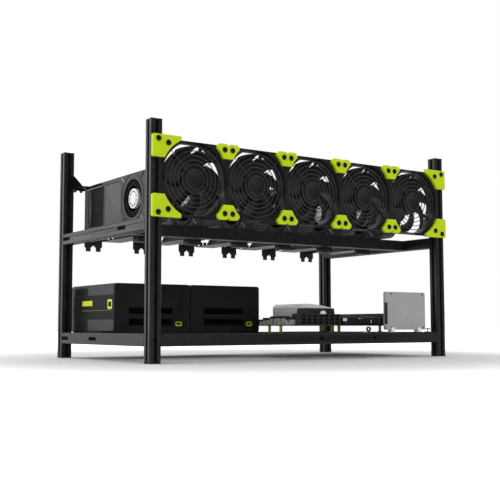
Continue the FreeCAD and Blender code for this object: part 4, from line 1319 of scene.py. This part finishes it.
@dataclass
class GraphicsCard:
    """An upright blower card with its board, bracket and riser."""

    count: int = 6
    pitch: float = 100.0
    first_x: float = -291.0
    thickness: float = 32.0
    front: float = -129.7
    back: float = 135.3
    low: float = 228.5
    high: float = 314.5
    nose: float = 17.0
    blower_y: float = -57.7
    blower_z: float = 271.6
    opening: float = 33.0
    pocket: float = 22.0
    hub: float = 17.0
    fins: int = 43
    fin_inner: float = 22.0
    fin_outer: float = 29.4
    window: tuple[float, float, float, float] = (55.0, 121.0, 237.0, 308.5)
    window_depth: float = 3.0
    bezel: float = 41.0

    def _shell(self) -> bpy.types.Mesh:
        """Housing with a round nose, the blower pocket, the window, a ring round the blower and grooves."""
        r, y0, y1, z0, z1 = self.nose, self.front, self.back, self.low, self.high
        outline = [(y1, z0), (y1, z1)]
        for start, a, b in ((90, y0 + r, z1 - r), (180, y0 + r, z0 + r)):
            outline += [(a + r * math.cos(math.radians(start + 15 * k)),
                         b + r * math.sin(math.radians(start + 15 * k)))
                        for k in range(7)]
        body = Solid().slab([outline], Across.X, 0, self.thickness)
        w = self.window
        cuts = [
            Solid().disc(Across.X, self.blower_y, self.blower_z, self.opening, -1, self.pocket, 72),
            Solid().slab([rounded(w[0], w[1], w[2], w[3], 3)], Across.X, -1, self.window_depth),
            Solid().slab([circle(self.blower_y, self.blower_z, self.bezel + 0.7, 72),
                          circle(self.blower_y, self.blower_z, self.bezel - 0.7, 72)], Across.X, -1, 0.8),
            Solid().disc(Across.X, self.blower_y, self.blower_z, 1.55, self.pocket - 1, self.thickness + 1, 24),
        ]
        for z in (z0 + 6.5, z1 - 7.5):
            cuts.append(Solid().slab([plain(-8.0, 51.0, z - 0.8, z + 0.8)], Across.X, -1, 1.4))
        cuts.append(Solid().slab([plain(50.2, 51.4, z0 + 9, z1 - 10)], Across.X, -1, 0.7))
        return eased(carved(body.mesh("shell"), cuts), 0.5, 2)

    def _ribs(self, turns: Sequence[float]) -> Solid:
        """Short ribs that point from the blower to the corners of its panel."""
        solid = Solid()
        for turn in turns:
            c, s = math.cos(math.radians(turn)), math.sin(math.radians(turn))
            outline = [(self.blower_y + r * c - w * s, self.blower_z + r * s + w * c)
                       for r, w in ((43.5, -0.7), (57.0, -0.9), (57.0, 0.9), (43.5, 0.7))]
            solid.slab([outline], Across.X, -0.7, 0.4)
        return solid

    def _window(self) -> Solid:
        """Dark fins behind the window."""
        w = self.window
        solid = Solid()
        solid.block(self.window_depth - 0.4, self.window_depth + 0.4, w[0] - 0.5, w[1] + 0.5, w[2] - 0.5, w[3] + 0.5)
        count = 22
        for k in range(count):
            y = w[0] + 3 + (w[1] - w[0] - 20) * k / (count - 1)
            solid.slab([plain(y - 0.5, y + 0.5, w[2] + 0.6, w[3] - 0.6)], Across.X, 1.5, self.window_depth + 0.5)
        return solid

    def _band(self) -> Solid:
        """Lighter curved trim at the rear end of the window."""
        w = self.window
        points = []
        for k in range(13):
            z = w[2] + 0.5 + (w[3] - w[2] - 1) * k / 12
            points.append((w[1] - 12 + 5.0 * (2 * k / 12 - 1) ** 2, z))
        return Solid().slab([[(w[1] - 1, w[2] + 0.5)] + [(w[1] - 1, w[3] - 0.5)] + points[::-1]], Across.X, 1.0,
                            self.window_depth)

    def _rear_face(self, shop: Dresser) -> tuple[Solid, Solid]:
        """Brace with its screws, and chips and small parts, on the open side of a board."""
        low, high = shop.span("card_boards")
        x = high[0] - self.first_x - self.pitch * (self.count - 1)
        y, z = (low[1] + high[1]) / 2, high[2] - 40.0
        brace = Solid().slab([rounded(y - 19, y + 19, z - 19, z + 19, 4), rounded(y - 13, y + 13, z - 13, z + 13, 2)],
                             Across.X,
                             x - 0.05, x + 1.3)
        parts = Solid()
        for a in (-1, 1):
            for b in (-1, 1):
                arm = [(a * 17 + 3 * b, b * 17 - 3 * a), (a * 28 + 3 * b, b * 28 - 3 * a),
                       (a * 28 - 3 * b, b * 28 + 3 * a),
                       (a * 17 - 3 * b, b * 17 + 3 * a)]
                brace.slab([[(y + p, z + q) for p, q in arm]], Across.X, x, x + 1.2)
                brace.slab([circle(y + a * 28, z + b * 28, 4.2, 24)], Across.X, x, x + 1.4)
                brace.slab([circle(y + a * 28, z + b * 28, 2.6, 20), circle(y + a * 28, z + b * 28, 1.2, 6)],
                           Across.X, x + 1.3, x + 2.2)
            for k in range(3):
                parts.block(x - 0.05, x + 1.0, y + a * 48 - 6, y + a * 48 + 6, z - 27 + 18 * k, z - 27 + 18 * k + 13)
        for k in range(12):
            parts.block(x - 0.05, x + 0.9, y - 55 + 9.6 * k, y - 51.5 + 9.6 * k, z + 32.2, z + 34.2)
            parts.block(x - 0.05, x + 0.9, high[1] - 34 - 3.4 * k, high[1] - 32 - 3.4 * k, low[2] + 22.0,
                        low[2] + 23.6)
        for k in range(5):
            parts.slab([circle(low[1] + 18 + 6.5 * k, z + 22, 1.7, 16)], Across.X, x - 0.05, x + 0.8)
            parts.slab([rounded(low[1] + 12, low[1] + 21, z - 30 + 9.4 * k, z - 24 + 9.4 * k, 0.5, 2)], Across.X,
                       x - 0.05, x + 1.1)
        return brace, parts

    def _bracket(self) -> bpy.types.Mesh:
        """Bracket with vents and the cut-outs of its sockets."""
        foot, top, mid = 196.0, 315.7, 17.75
        half = [(17.75, top), (17.75, foot + 9), (14.75, foot + 6), (14.75, foot), (5.25, foot), (5.25, foot + 7)]
        outline = [(mid + a, b) for a, b in half] + [(mid, foot + 11.5)] + [(mid - a, b) for a, b in reversed(half)]
        holes = [rounded(4, 14, 219 + 24 * k, 236 + 24 * k, 1, 2) for k in range(3)]
        holes += [rounded(20, 31.5, 229 + 7.2 * k, 233 + 7.2 * k, 1.8, 3) for k in range(11)]
        solid = Solid().slab([outline] + holes, Across.Y, self.back, self.back + 1.2)
        solid.block(0.2, 35.3, self.back + 0.6, self.back + 12.2, top - 1.2, top)
        return solid.mesh("bracket", 0.2, 1)

    def dress(self, shop: Dresser) -> None:
        """Adds the six cards."""
        shell = self._shell()
        by, bz = self.blower_y, self.blower_z
        # The same ribs in two finishes for how light falls on them: the pair at 45 and 225 degrees is pale, a painted
        # highlight, and the pair at 135 and 315 degrees is dark, painted shade.
        pale = self._ribs((45, 225)).mesh("highlit_ribs", 0.2, 1)
        dark = self._ribs((135, 315)).mesh("shaded_ribs", 0.2, 1)
        fins = self._window().mesh("window_fins")
        band = self._band().mesh("band", 0.2, 1)
        foot = Solid().block(8.0, 38.5, self.back - 9.0, self.back - 0.8, 215.8, 226.5).mesh("foot", 0.5, 2)
        strip = Solid()
        for a, b in ((63, 76), (79, 98), (101, 106), (110, 133)):
            strip.slab([plain(a, b, self.high - 5.8, self.high - 0.3)], Across.X, -0.7, 1.0)
        for a, b in ((58, 70), (73, 82)):
            strip.slab([plain(a, b, self.window[2] - 3.2, self.window[2] - 0.4)], Across.X, -0.5, 1.0)
        strip_mesh = strip.mesh("edge_blocks", 0.3, 1)
        # A thin pale strip along the top of the window: a painted highlight of the light line along the card's top
        # edge.
        window_highlight_mesh = Solid().slab([plain(62.0, 134.0, self.high - 6.9, self.high - 6.1)], Across.X, -0.5,
                                0.4).mesh("rim")
        sleeve = Solid().lathe([
            (self.opening - 1.1, 0.6), (self.opening - 0.05, 0.3), (self.opening - 0.05, self.pocket - 0.05),
            (2.4, self.pocket - 0.05),
            (2.4, self.pocket - 0.4), (self.opening - 1.1, self.pocket - 0.5),
        ], Across.X, by, bz, 72, loop=True).mesh("sleeve")
        hub = Solid().lathe([
            (0, 1.0), (9.6, 1.0), (10.0, 1.4), (13.2, 1.4), (13.6, 1.0), (15.8, 1.0), (16.7, 1.4), (self.hub, 2.4),
            (self.hub, 20.0),
            (0, 20.0),
        ], Across.X, 0, 0, 56).mesh("blower_hub")
        fin = Solid().slab([[(self.fin_inner, -0.35), (self.fin_outer, -1.3), (self.fin_outer, -0.6),
                             (self.fin_inner, 0.35)]],
                           Across.X, 1.2, 20.6).mesh("fin")
        wheel = shop.repeats.turned(fin, self.fins, (2 * math.pi / self.fins, 0.0, 0.0),
                                    shop.paints.get(BLOWER_BLACK))
        disc = Solid().lathe([(0, 19.8), (29.9, 19.8), (29.9, 21.3), (0, 21.3)], Across.X, 0, 0, 56)
        disc.disc(Across.X, 0, 0, 1.48, 21.3, 31.7, 24)
        disc_mesh = disc.mesh("blower_disc")
        arc = [math.radians(-12 + 4 * k) for k in range(7)]
        outline = [(12.9 * math.cos(t), 12.9 * math.sin(t)) for t in arc] + [(11.2 * math.cos(t),
                                                                              11.2 * math.sin(t)) for t in reversed(arc)]
        dash = Solid().slab([outline], Across.X, 0.8, 1.6).mesh("dash")
        dashes = shop.repeats.turned(dash, 9, (2 * math.pi / 9, 0.0, 0.0), shop.paints.get(SHROUD_GREY))
        for index in range(self.count):
            x = self.first_x + self.pitch * index
            number = index + 1
            wheel_body = "blower_rotor_%d" % number
            shop.add("card_shell_%d" % number, moved(shell, x), SHROUD_GREY, "shroud_metal", "rig",
                     ["card_shroud_%d" % number])
            # Ribs with a painted highlight, then ribs with painted shade.
            shop.add("pale_ribs_%d" % number, moved(pale, x), DRIVE_GREY, "shroud_metal")
            shop.add("dark_ribs_%d" % number, moved(dark, x), SHROUD_DARK, "shroud_metal")
            shop.add("window_fins_%d" % number, moved(fins, x), WINDOW_DARK, "shroud_metal")
            shop.add("card_foot_%d" % number, moved(foot, x), SHROUD_DARK, "shroud_metal")
            shop.add("window_band_%d" % number, moved(band, x), PSU_GREY, "shroud_metal")
            shop.add("window_rim_%d" % number, moved(window_highlight_mesh, x), DRIVE_GREY, "shroud_metal")
            shop.add("edge_blocks_%d" % number, moved(strip_mesh, x), NUT_BLACK_AND_SHADE, "shroud_metal")
            shop.add("blower_sleeve_%d" % number, moved(sleeve, x), BLOWER_BLACK, "blower_plastic")
            shop.add("blower_disc_%d" % number, moved(disc_mesh, x, by, bz), BLOWER_BLACK, "blower_plastic",
                     wheel_body, [wheel_body])
            shop.add("blower_fins_%d" % number, moved(wheel, x, by, bz), BLOWER_BLACK, "blower_plastic", wheel_body)
            shop.add("blower_hub_%d" % number, moved(hub, x, by, bz), HUB_WHITE, "blower_plastic", wheel_body)
            shop.add("blower_dashes_%d" % number, moved(dashes, x, by, bz), SHROUD_GREY, "blower_plastic", wheel_body)
        shop.coat(BOARD_BLACK, "card_boards")
        along = (self.pitch, 0.0, 0.0)
        brace, small = self._rear_face(shop)
        for name, solid, finish in (("board_braces", brace, BRACKET_DARK), ("board_parts", small, BOARD_PART)):
            repeated = shop.repeats.rows(moved(solid.mesh(name, 0.2, 1), self.first_x), shop.paints.get(finish),
                                         self.count, along)
            shop.add(name, repeated, finish, "shroud_metal")
        brackets = shop.repeats.rows(moved(self._bracket(), self.first_x), shop.paints.get(BRACKET_DARK), self.count,
                                     along)
        shop.add("slot_brackets", brackets, BRACKET_DARK, "bracket_metal", "rig", ["card_brackets"])
        ports = Solid()
        for k in range(3):
            z = 219.6 + 24 * k
            ports.slab([rounded(4.4, 13.6, z, z + 15.8, 0.8, 2), rounded(5.4, 12.6, z + 1, z + 14.8, 0.5, 2)],
                       Across.Y,
                       self.back + 0.1, self.back + 2.0)
            ports.block(7.6, 10.4, self.back + 0.1, self.back + 1.4, z + 3, z + 13)
        socket_mesh = moved(ports.mesh("display_sockets", 0.15, 1), self.first_x)
        sockets = shop.repeats.rows(socket_mesh, shop.paints.get(STEEL), self.count, along)
        shop.add("display_sockets", sockets, STEEL, "bracket_metal")
        self._risers(shop, along)

    def _risers(self, shop: Dresser, along: Triple) -> None:
        """Adds the riser boards with their sockets and capacitors."""
        mid = self.first_x + 32.8
        board = Solid().slab([rounded(mid - 20, mid + 20, -42.2, 92.8, 1.5)], Across.Z, 210.4, 212.0)
        boards = shop.repeats.rows(board.mesh("riser_board", 0.15, 1), shop.paints.get(BOARD_BLACK), self.count,
                                   along)
        shop.add("riser_boards", boards, BOARD_BLACK, "riser_board", "rig", ["risers"])
        fit = Solid()
        fit.slab([[(mid - 3.5, 212.0), (mid + 3.5, 212.0), (mid + 3.5, 223.0), (mid + 1.1, 223.0), (mid + 1.1, 217.2),
                   (mid - 1.1, 217.2), (mid - 1.1, 223.0), (mid - 3.5, 223.0)]], Across.Y, -18.7, 72.3)
        fit.block(mid - 12.5, mid + 12.5, -40.2, -20.2, 201.9, 210.4)
        for k in range(4):
            fit.disc(Across.Z, mid - 13 + 8.6 * k, 84.0, 3.0, 212.0, 219.5, 20)
        fit.block(mid + 7, mid + 15, -35.0, -27.0, 212.0, 215.0)
        parts = shop.repeats.rows(fit.mesh("riser_sockets", 0.35, 2), shop.paints.get(SOCKET_BLACK), self.count,
                                  along)
        shop.add("riser_sockets", parts, SOCKET_BLACK, "riser_board")


@dataclass
class PowerSupply:
    """A boxed power supply with its sockets, label, grille and mains inlet."""

    places: tuple[tuple[str, float], ...] = (("left", -293.5), ("right", -141.5))
    width: float = 150.0
    front: float = 2.3
    back: float = 183.8
    low: float = 46.5
    high: float = 132.5
    corner: float = 5.0
    row_start: float = 28.0
    row_end: float = 114.0
    rows: tuple[float, ...] = (60.0, 79.5)
    row_height: float = 11.0
    row_depth: float = 2.5
    inlet: tuple[float, float, float, float] = (103.0, 130.0, 58.5, 78.5)
    inlet_depth: float = 12.0
    rocker_x: float = 89.0
    rocker_z: float = 68.5

    def _case(self) -> bpy.types.Mesh:
        """Box with its socket rows, the inlet and the switch well."""
        body = Solid().slab([rounded(0, self.width, self.low, self.high, self.corner, 6)], Across.Y, self.front,
                            self.back)
        cuts = [Solid().block(self.row_start, self.row_end, self.front - 1, self.front + self.row_depth, z,
                              z + self.row_height)
                for z in self.rows]
        a0, a1, b0, b1 = self.inlet
        cuts.append(Solid().block(a0, a1, self.back - self.inlet_depth, self.back + 1, b0, b1))
        x, z = self.rocker_x, self.rocker_z
        cuts.append(Solid().block(x - 5.4, x + 5.4, self.back - 8.0, self.back + 1, z - 9.4, z + 9.4))
        cuts.append(Solid().block(x - 7.4, x + 7.4, self.back - 5.1, self.back - 2.9, z - 1.1, z + 1.1))
        return eased(carved(body.mesh("case"), cuts), 0.6, 2)

    def _side(self) -> dict[str, tuple[Solid, Finish]]:
        """Panels and prints on the left side."""
        def sheet(outlines: Sequence[Sequence[Pair]], lift: float) -> Solid:
            return Solid().slab(outlines, Across.X, -lift, 0.05)
        pads = Solid()
        panels = Solid()
        for z0, z1 in ((113.0, 126.0), (50.0, 69.5)):
            pads.slab([plain(112.0, 171.0, z0, z1)], Across.X, -0.25, 0.05)
            panels.slab([plain(5.5, 111.0, z0, min(z1 + 3.5, 129.0) if z0 > 100 else z1)], Across.X, -0.25, 0.05)
        return {
            "side_pads": (pads, SHROUD_DARK),
            "side_panels": (panels, PSU_GREY),
            "label_band": (sheet([rounded(4.0, 174.0, 70.2, 112.5, 1.0)], 0.35), LABEL_DARK),
            "yellow_bar": (sheet([rounded(91.0, 134.0, 94.3, 103.5, 0.8)], 0.45), MARK_YELLOW),
            "yellow_badge": (sheet([rounded(10.0, 28.5, 87.8, 104.5, 3.0), rounded(13.0, 25.5, 92.0, 100.5, 2.0)],
                                   0.45), MARK_YELLOW),
            "olive_line": (sheet([plain(9.0, 135.0, 85.2, 86.2)], 0.45), LINE_OLIVE),
        }

    def dress(self, shop: Dresser) -> None:
        """Adds both power supplies."""
        case = self._case()
        cell = Solid().slab([rounded(0.2, 4.2, 0.2, 4.9, 0.4, 2), rounded(0.9, 3.5, 0.9, 4.2, 0.5, 2)], Across.Y,
                            self.front + 0.6, self.front + self.row_depth)
        cells = shop.repeats.rows(cell.mesh("cell"), shop.paints.get(NUT_BLACK_AND_SHADE), 19, (4.5, 0.0, 0.0), 2,
                                  (0.0, 0.0, 5.2))
        tooth = Solid().block(1.0, 3.2, self.front - 0.25, self.front + 0.05, 0.0, 1.6)
        teeth = shop.repeats.rows(tooth.mesh("tooth"), shop.paints.get(SHROUD_DARK), 10, (9.0, 0.0, 0.0))
        # The grille's holes are drawn as dark six-sided patches on the back: painted shade of the openings.
        vent = Solid().slab([circle(0, 0, 2.5, 6)], Across.Y, self.back - 0.05, self.back + 0.15)
        vents = shop.repeats.rows(vent.mesh("vent"), shop.paints.get(SHROUD_DARK), 13, (6.1, 0.0, 0.0), 12,
                                  (0.0, 0.0, 6.1))
        # Two thin dim olive strips beside the socket rows: painted highlight lines.
        lines = Solid()
        for z in (72.6, 77.6):
            lines.slab([plain(26.0, 147.0, z, z + 0.7)], Across.Y, self.front - 0.12, self.front + 0.05)
        front_highlight_mesh = lines.mesh("front_highlight_lines")
        mark = Solid().slab([rounded(120.0, 134.0, 58.0, 66.2, 3.6), rounded(122.2, 131.8, 60.4, 64.4, 1.9)],
                            Across.Y,
                            self.front - 0.15, self.front + 0.05).mesh("front_mark")
        a0, a1, b0, b1 = self.inlet
        pins = Solid()
        for x, z in ((a0 + 7, b0 + 8), (a1 - 7, b0 + 8), ((a0 + a1) / 2, b0 + 13)):
            pins.block(x - 1, x + 1, self.back - self.inlet_depth - 0.5, self.back - 2.5, z - 2.2, z + 2.2)
        pin_mesh = pins.mesh("inlet_pins", 0.3, 1)
        frame = Solid().slab([rounded(a0 - 3, a1 + 3, b0 - 3, b1 + 3, 2), rounded(a0, a1, b0, b1, 1.5)], Across.Y,
                             self.back - 0.05, self.back + 0.8).mesh("inlet_frame", 0.3, 1)
        for name, x in self.places:
            shop.add("psu_case_%s" % name, moved(case, x), PSU_BLACK, "psu_metal", "rig", ["psu_%s" % name])
            for row, z in enumerate(self.rows):
                shop.add("socket_cells_%s_%d" % (name, row), moved(cells, x + self.row_start, 0, z + 0.3), NUT_BLACK_AND_SHADE,
                         "psu_metal")
                shop.add("row_teeth_%s_%d" % (name, row), moved(teeth, x + self.row_start, 0, z + self.row_height),
                         SHROUD_DARK, "psu_metal")
            for part, (solid, finish) in self._side().items():
                shop.add("%s_%s" % (part, name), moved(solid.mesh(part, 0.08, 1), x), finish, "psu_metal")
            shop.add("front_lines_%s" % name, moved(front_highlight_mesh, x), OLIVE_HIGHLIGHT, "psu_metal")
            shop.add("front_mark_%s" % name, moved(mark, x), MARK_GREEN, "psu_metal")
            shop.add("rear_vents_%s" % name, moved(vents, x + 8, 0, 57.0), SHROUD_DARK, "psu_metal")
            shop.add("inlet_pins_%s" % name, moved(pin_mesh, x), STEEL, "psu_metal")
            shop.add("inlet_frame_%s" % name, moved(frame, x), SOCKET_BLACK, "psu_metal")
            shop.coat(SOCKET_BLACK, "psu_switch_%s" % name)


@dataclass
class Mainboard:
    """Motherboard with its sockets, slots, memory, heat sink and cooler."""

    x0: float = 10.0
    x1: float = 315.0
    y0: float = -115.7
    y1: float = 128.3
    low: float = 58.4
    top: float = 60.0
    ports: tuple[float, ...] = (13.0, 15.5, 15.5, 13.0, 10.0)
    port_first: float = -95.7
    port_pitch: float = 24.0
    bank: tuple[float, float, float, float] = (17.0, 112.0, -114.7, -100.7)
    sink: tuple[float, float, float, float] = (27.5, 112.5, -97.7, -71.7)
    cooler: tuple[float, float, float, float] = (58.0, 134.0, -63.7, 28.3)

    def _ports(self) -> Solid:
        """Metal shells of the ports on the left edge."""
        solid = Solid()
        for k, height in enumerate(self.ports):
            y = self.port_first + self.port_pitch * k
            outlines = [rounded(y, y + 16, self.top, self.top + height, 0.8, 2),
                        rounded(y + 1.5, y + 14.5, self.top + 1.5, self.top + height - 1.5, 0.6, 2)]
            solid.slab(outlines, Across.X, self.x0, self.x0 + 9)
            solid.block(self.x0 + 9, self.x0 + 16.4, y, y + 16, self.top, self.top + height)
            solid.block(self.x0 + 2, self.x0 + 9, y + 3, y + 13, self.top + 4, self.top + 5.6)
        return solid

    def _bank(self) -> bpy.types.Mesh:
        """Block of three rows of seven sockets that face the front."""
        a0, a1, b0, b1 = self.bank
        body = Solid().block(a0, a1, b0, b1, self.top, 80.0)
        cutter = Solid()
        for row in range(3):
            for column in range(7):
                x = a0 + 1.6 + 13.2 * column
                z = self.top + 1.4 + 6.2 * row
                cutter.block(x, x + 11.4, b0 - 1, b0 + 6, z, z + 4.8)
        return eased(carved(body.mesh("bank"), [cutter]), 0.25, 1)

    def dress(self, shop: Dresser) -> None:
        """Adds the board and all that stands on it."""
        holes = [circle(a, b, 1.6, 12) for a,
                 b in ((16.6, -56.7), (140.5, -20.7), (310.0, -3.7), (20.0, 122.0), (305.0, 122.0))]
        board = Solid().slab([rounded(self.x0, self.x1, self.y0, self.y1, 2.0)] + holes, Across.Z, self.low, self.top)
        shop.add("board_sheet", board.mesh("board", 0.1, 1), BOARD_BLACK, "board_green", "rig", ["motherboard"])
        shop.add("port_shells", self._ports().mesh("ports", 0.2, 1), STEEL, "board_green")
        shop.add("socket_bank", self._bank(), SINK_BLACK, "board_green")
        tops = Solid()
        for k, height in enumerate(self.ports):
            y = self.port_first + self.port_pitch * k
            tops.block(self.x0 - 0.2, self.x0 + 16.6, y - 0.2, y + 16.2, self.top + height - 3.4,
                       self.top + height + 0.5)
        shop.add("port_tops", tops.mesh("port_tops", 0.2, 1), SOCKET_BLACK, "board_green")
        slot = Solid().slab([plain(-44.5, 44.5, -3.75, 3.75), plain(-43, 43, -0.9, 0.9)], Across.Z, 0,
                            11.0).mesh("slot", 0.3, 1)
        slots = shop.repeats.placed(slot, [(96.5, 38.05 + 20.3 * k, self.top) for k in range(5)],
                                    shop.paints.get(SOCKET_BLACK))
        shop.add("card_slots", slots, SOCKET_BLACK, "board_green")
        stick = Solid().slab([rounded(-105.7, 28.3, 60.0, 82.0, 1.2, 3)], Across.X, 0, 7.0)
        for k in range(16):
            stick.block(-0.3, 7.3, -101.0 + 8.2 * k, -97.0 + 8.2 * k, 76.5, 80.5)
        sticks = shop.repeats.rows(moved(stick.mesh("stick", 0.3, 1), 225.0), shop.paints.get(SOCKET_BLACK), 2,
                                   (10.0, 0.0, 0.0))
        shop.add("memory_sticks", sticks, SOCKET_BLACK, "board_green")
        can = Solid().lathe([(0, 0), (3.1, 0), (3.1, 7.4), (2.7, 8.0), (0, 8.0)], Across.Z, 0, 0, 24).mesh("can")
        spots = [(148.0 + 9.5 * k, -108.5, self.top) for k in range(7)] + [(150.0, -60.0 + 11.0 * k,
                                                                            self.top) for k in range(7)]
        spots += [(252.0 + 9.0 * k, 60.0, self.top) for k in range(6)]
        cans = shop.repeats.placed(can, spots, shop.paints.get(STEEL))
        shop.add("capacitors", cans, STEEL, "board_green")
        chip = Solid().slab([rounded(-7, 7, -7, 7, 0.6, 2)], Across.Z, 0, 2.0).mesh("chip", 0.2, 1)
        chips = shop.repeats.placed(chip, [(165.0, 90.0, self.top), (190.0, 60.0, self.top), (170.0, -85.0, self.top),
                                           (200.0, -60.0, self.top), (285.0, 90.0, self.top)],
                                           shop.paints.get(SOCKET_BLACK))
        shop.add("chips", chips, SOCKET_BLACK, "board_green")
        front = Solid().block(120.0, 212.0, -113.0, -105.0, self.top, 74.0)
        front.block(216.0, 222.0, -113.0, -60.0, self.top, 76.0)
        front.block(246.0, 300.0, -113.0, -104.0, self.top, 72.0)
        shop.add("front_headers", front.mesh("headers", 0.4, 2), SOCKET_BLACK, "board_green")
        pale = Solid().block(118.5, 128.0, -113.8, -112.9, 67.0, 72.5)
        pale.block(187.0, 189.0, -113.8, -112.9, self.top + 3, 70.0)
        pale.block(157.0, 160.0, -113.8, -112.9, 71.0, 73.0).block(163.0, 165.0, -113.8, -112.9, 71.5, 73.0)
        dome = [(71.5 + 6.2 * math.cos(math.radians(15 * k)),
                 79.8 + 6.2 * math.sin(math.radians(15 * k))) for k in range(13)]
        pale.slab([dome], Across.Y, -114.6, -111.0)
        shop.add("pale_header", pale.mesh("pale_header", 0.3, 1), CLIP_PALE, "board_green")
        self._sink(shop)
        self._cooler(shop)

    def _sink(self, shop: Dresser) -> None:
        """Adds the heat sink with its fins."""
        a0, a1, b0, b1 = self.sink
        base = Solid().slab([[(a0, self.top), (a1, self.top), (a1, 68.0), (a1 - 1, 70.0), (a0 + 1, 70.0),
                              (a0, 68.0)]], Across.Y, b0, b1)
        base.slab([[(a0 + 1, 69.5), (a0 + 15, 69.5), (a0 + 15, 81.0), (a0 + 3, 81.0)]], Across.Y, b0 + 1, b1 - 1)
        shop.add("sink_base", base.mesh("sink_base", 0.4, 2), SINK_BLACK, "sink_metal", "rig", ["heat_sink"])
        fins = Solid()
        count = 17
        for k in range(count):
            share = k / (count - 1)
            foot = a0 + 13.0 + (a1 - a0 - 13.0) * share
            head = a0 + 17.0 + (a1 - a0 - 20.0) * share
            fins.slab([[(foot - 1.0, 69.5), (foot + 1.0, 69.5), (head + 1.0, 91.0), (head - 1.0, 91.0)]], Across.Y,
                      b0 + 0.4, b1 - 0.4)
        shop.add("sink_fins", fins.mesh("sink_fins", 0.3, 1), SINK_BLACK, "sink_metal")

    def _cooler(self, shop: Dresser) -> None:
        """Adds the pale cover on its dark base."""
        a0, a1, b0, b1 = self.cooler
        outline = [(a0, 72.0), (a1, 72.0), (a1, 92.5)]
        outline += [(a1 - (a1 - a0) * k / 12,
                     92.5 + 7.4 * math.sin(math.radians(9 + 106 * k / 12)) ** 1.4) for k in range(1, 12)]
        outline += [(a0, 95.0)]
        cover = Solid().slab([outline], Across.Y, b0, b1)
        shop.add("cooler_cover", cover.mesh("cooler_cover", 3.0, 5, 40.0), COVER_PALE, "cooler_pale", "rig",
                 ["cpu_cooler"])
        base = Solid().slab([rounded(a0 + 7, a1 - 7, b0 + 7, b1 - 7, 3.0)], Across.Z, self.top, 72.2)
        shop.add("cooler_base", base.mesh("cooler_base", 0.4, 2), SOCKET_BLACK, "cooler_pale")


@dataclass
class Drive:
    """Solid state drive on its clips, with the loop and the tab beside it."""

    x0: float = 173.0
    x1: float = 273.0
    y0: float = -171.2
    y1: float = -164.2
    low: float = 51.1
    high: float = 120.95
    corner: float = 3.0
    rail: float = 46.5
    loop_x: float = 133.0
    notch_drop: float = 5.0

    def dress(self, shop: Dresser) -> None:
        """Adds the drive and its clips."""
        body = Solid().slab([rounded(self.x0, self.x1, self.low, self.high, self.corner, 6)], Across.Y, self.y0,
                            self.y1)
        mid = (self.low + self.high) / 2 - self.notch_drop
        cuts = [Solid().block(self.x0 - 1, self.x0 + 4.6, self.y0 - 1, self.y1 - 1.5, mid - 20, mid + 20)]
        spots = [(a, b) for a in (self.x0 + 14.0, self.x1 - 6.5) for b in (self.low + 3.6, self.high - 3.6)]
        for a, b in spots:
            cuts.append(Solid().disc(Across.Y, a, b, 1.9, self.y0 - 1, self.y0 + 0.8, 24))
        shop.add("drive_case", eased(carved(body.mesh("drive"), cuts), 0.5, 3), DRIVE_GREY, "drive_metal", "rig",
                 ["drive"])
        screws = Solid()
        for a, b in spots:
            screws.slab([circle(a, b, 1.7, 24), circle(a, b, 0.7, 6)], Across.Y, self.y0 + 0.25, self.y0 + 0.9)
        shop.add("drive_screws", screws.mesh("drive_screws", 0.12, 1), SOCKET_BLACK, "drive_metal")
        plug = Solid().block(self.x0 + 1.0, self.x0 + 4.8, self.y0 + 1.2, self.y1 - 1.4, mid - 19.6, mid + 19.6)
        shop.add("drive_socket", plug.mesh("drive_socket", 0.3, 1), SOCKET_BLACK, "drive_metal")
        self._clips(shop)

    def _clips(self, shop: Dresser) -> None:
        """Adds the clips, the loop and the tab."""
        y, base = -167.7, self.rail
        seat, arm = 51.1, 55.1
        outline = [(y - 6, base), (y + 6, base), (y + 6, base + 1.6), (y + 5.4, base + 1.6), (y + 5.4, arm),
                   (y + 3.8, arm),
                   (y + 3.8, seat), (y - 3.8, seat), (y - 3.8, arm), (y - 5.4, arm), (y - 5.4, base + 1.6),
                   (y - 6, base + 1.6)]
        clips = Solid()
        for x in (self.x0 + 12, self.x1 - 21):
            clips.slab([outline], Across.X, x, x + 9)
        shop.add("drive_clips", clips.mesh("clips", 0.4, 2), CLIP_PALE, "clip_plastic", "rig", ["rail_clips"])
        loop = Solid().slab([circle(self.loop_x, base + 5.9, 4.4, 32), circle(self.loop_x, base + 5.9, 3.0, 32)],
                            Across.Y, y - 2, y + 2)
        loop.slab([plain(self.loop_x - 4.5, self.loop_x + 4.5, base, base + 1.6)], Across.Y, y - 6, y + 6)
        shop.add("cable_loop", loop.mesh("loop", 0.4, 2), SOCKET_BLACK, "clip_plastic")
        stub = Solid().block(self.loop_x - 13.5, self.loop_x - 6.0, y - 3, y + 3, base, base + 2.6)
        shop.add("loop_stub", stub.mesh("stub", 0.4, 2), CLIP_PALE, "clip_plastic")
        tab = Solid().block(279.0, 285.0, y - 6, y + 6, base, base + 1.2).block(281.2, 282.8, y - 0.8, y + 0.8,
                                                                                base + 1.2, base + 5)
        tab.block(279.4, 287.5, y - 3, y + 3, base + 5, base + 6.8)
        shop.add("rail_tab", tab.mesh("tab", 0.8, 2), SOCKET_BLACK, "clip_plastic")


def main() -> None:
    """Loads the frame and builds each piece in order."""
    logging.basicConfig(level=logging.INFO, format="%(message)s")
    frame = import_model()
    shop = Dresser(frame)
    Studio().build()
    for maker in (SlotFrame(), CaseFan(), PlateSet(), GraphicsCard(), PowerSupply(), Mainboard(), Drive()):
        maker.dress(shop)
        LOG.info("%s dressed, %d pieces so far", type(maker).__name__, shop.count)


if __name__ == "__main__":
    main()
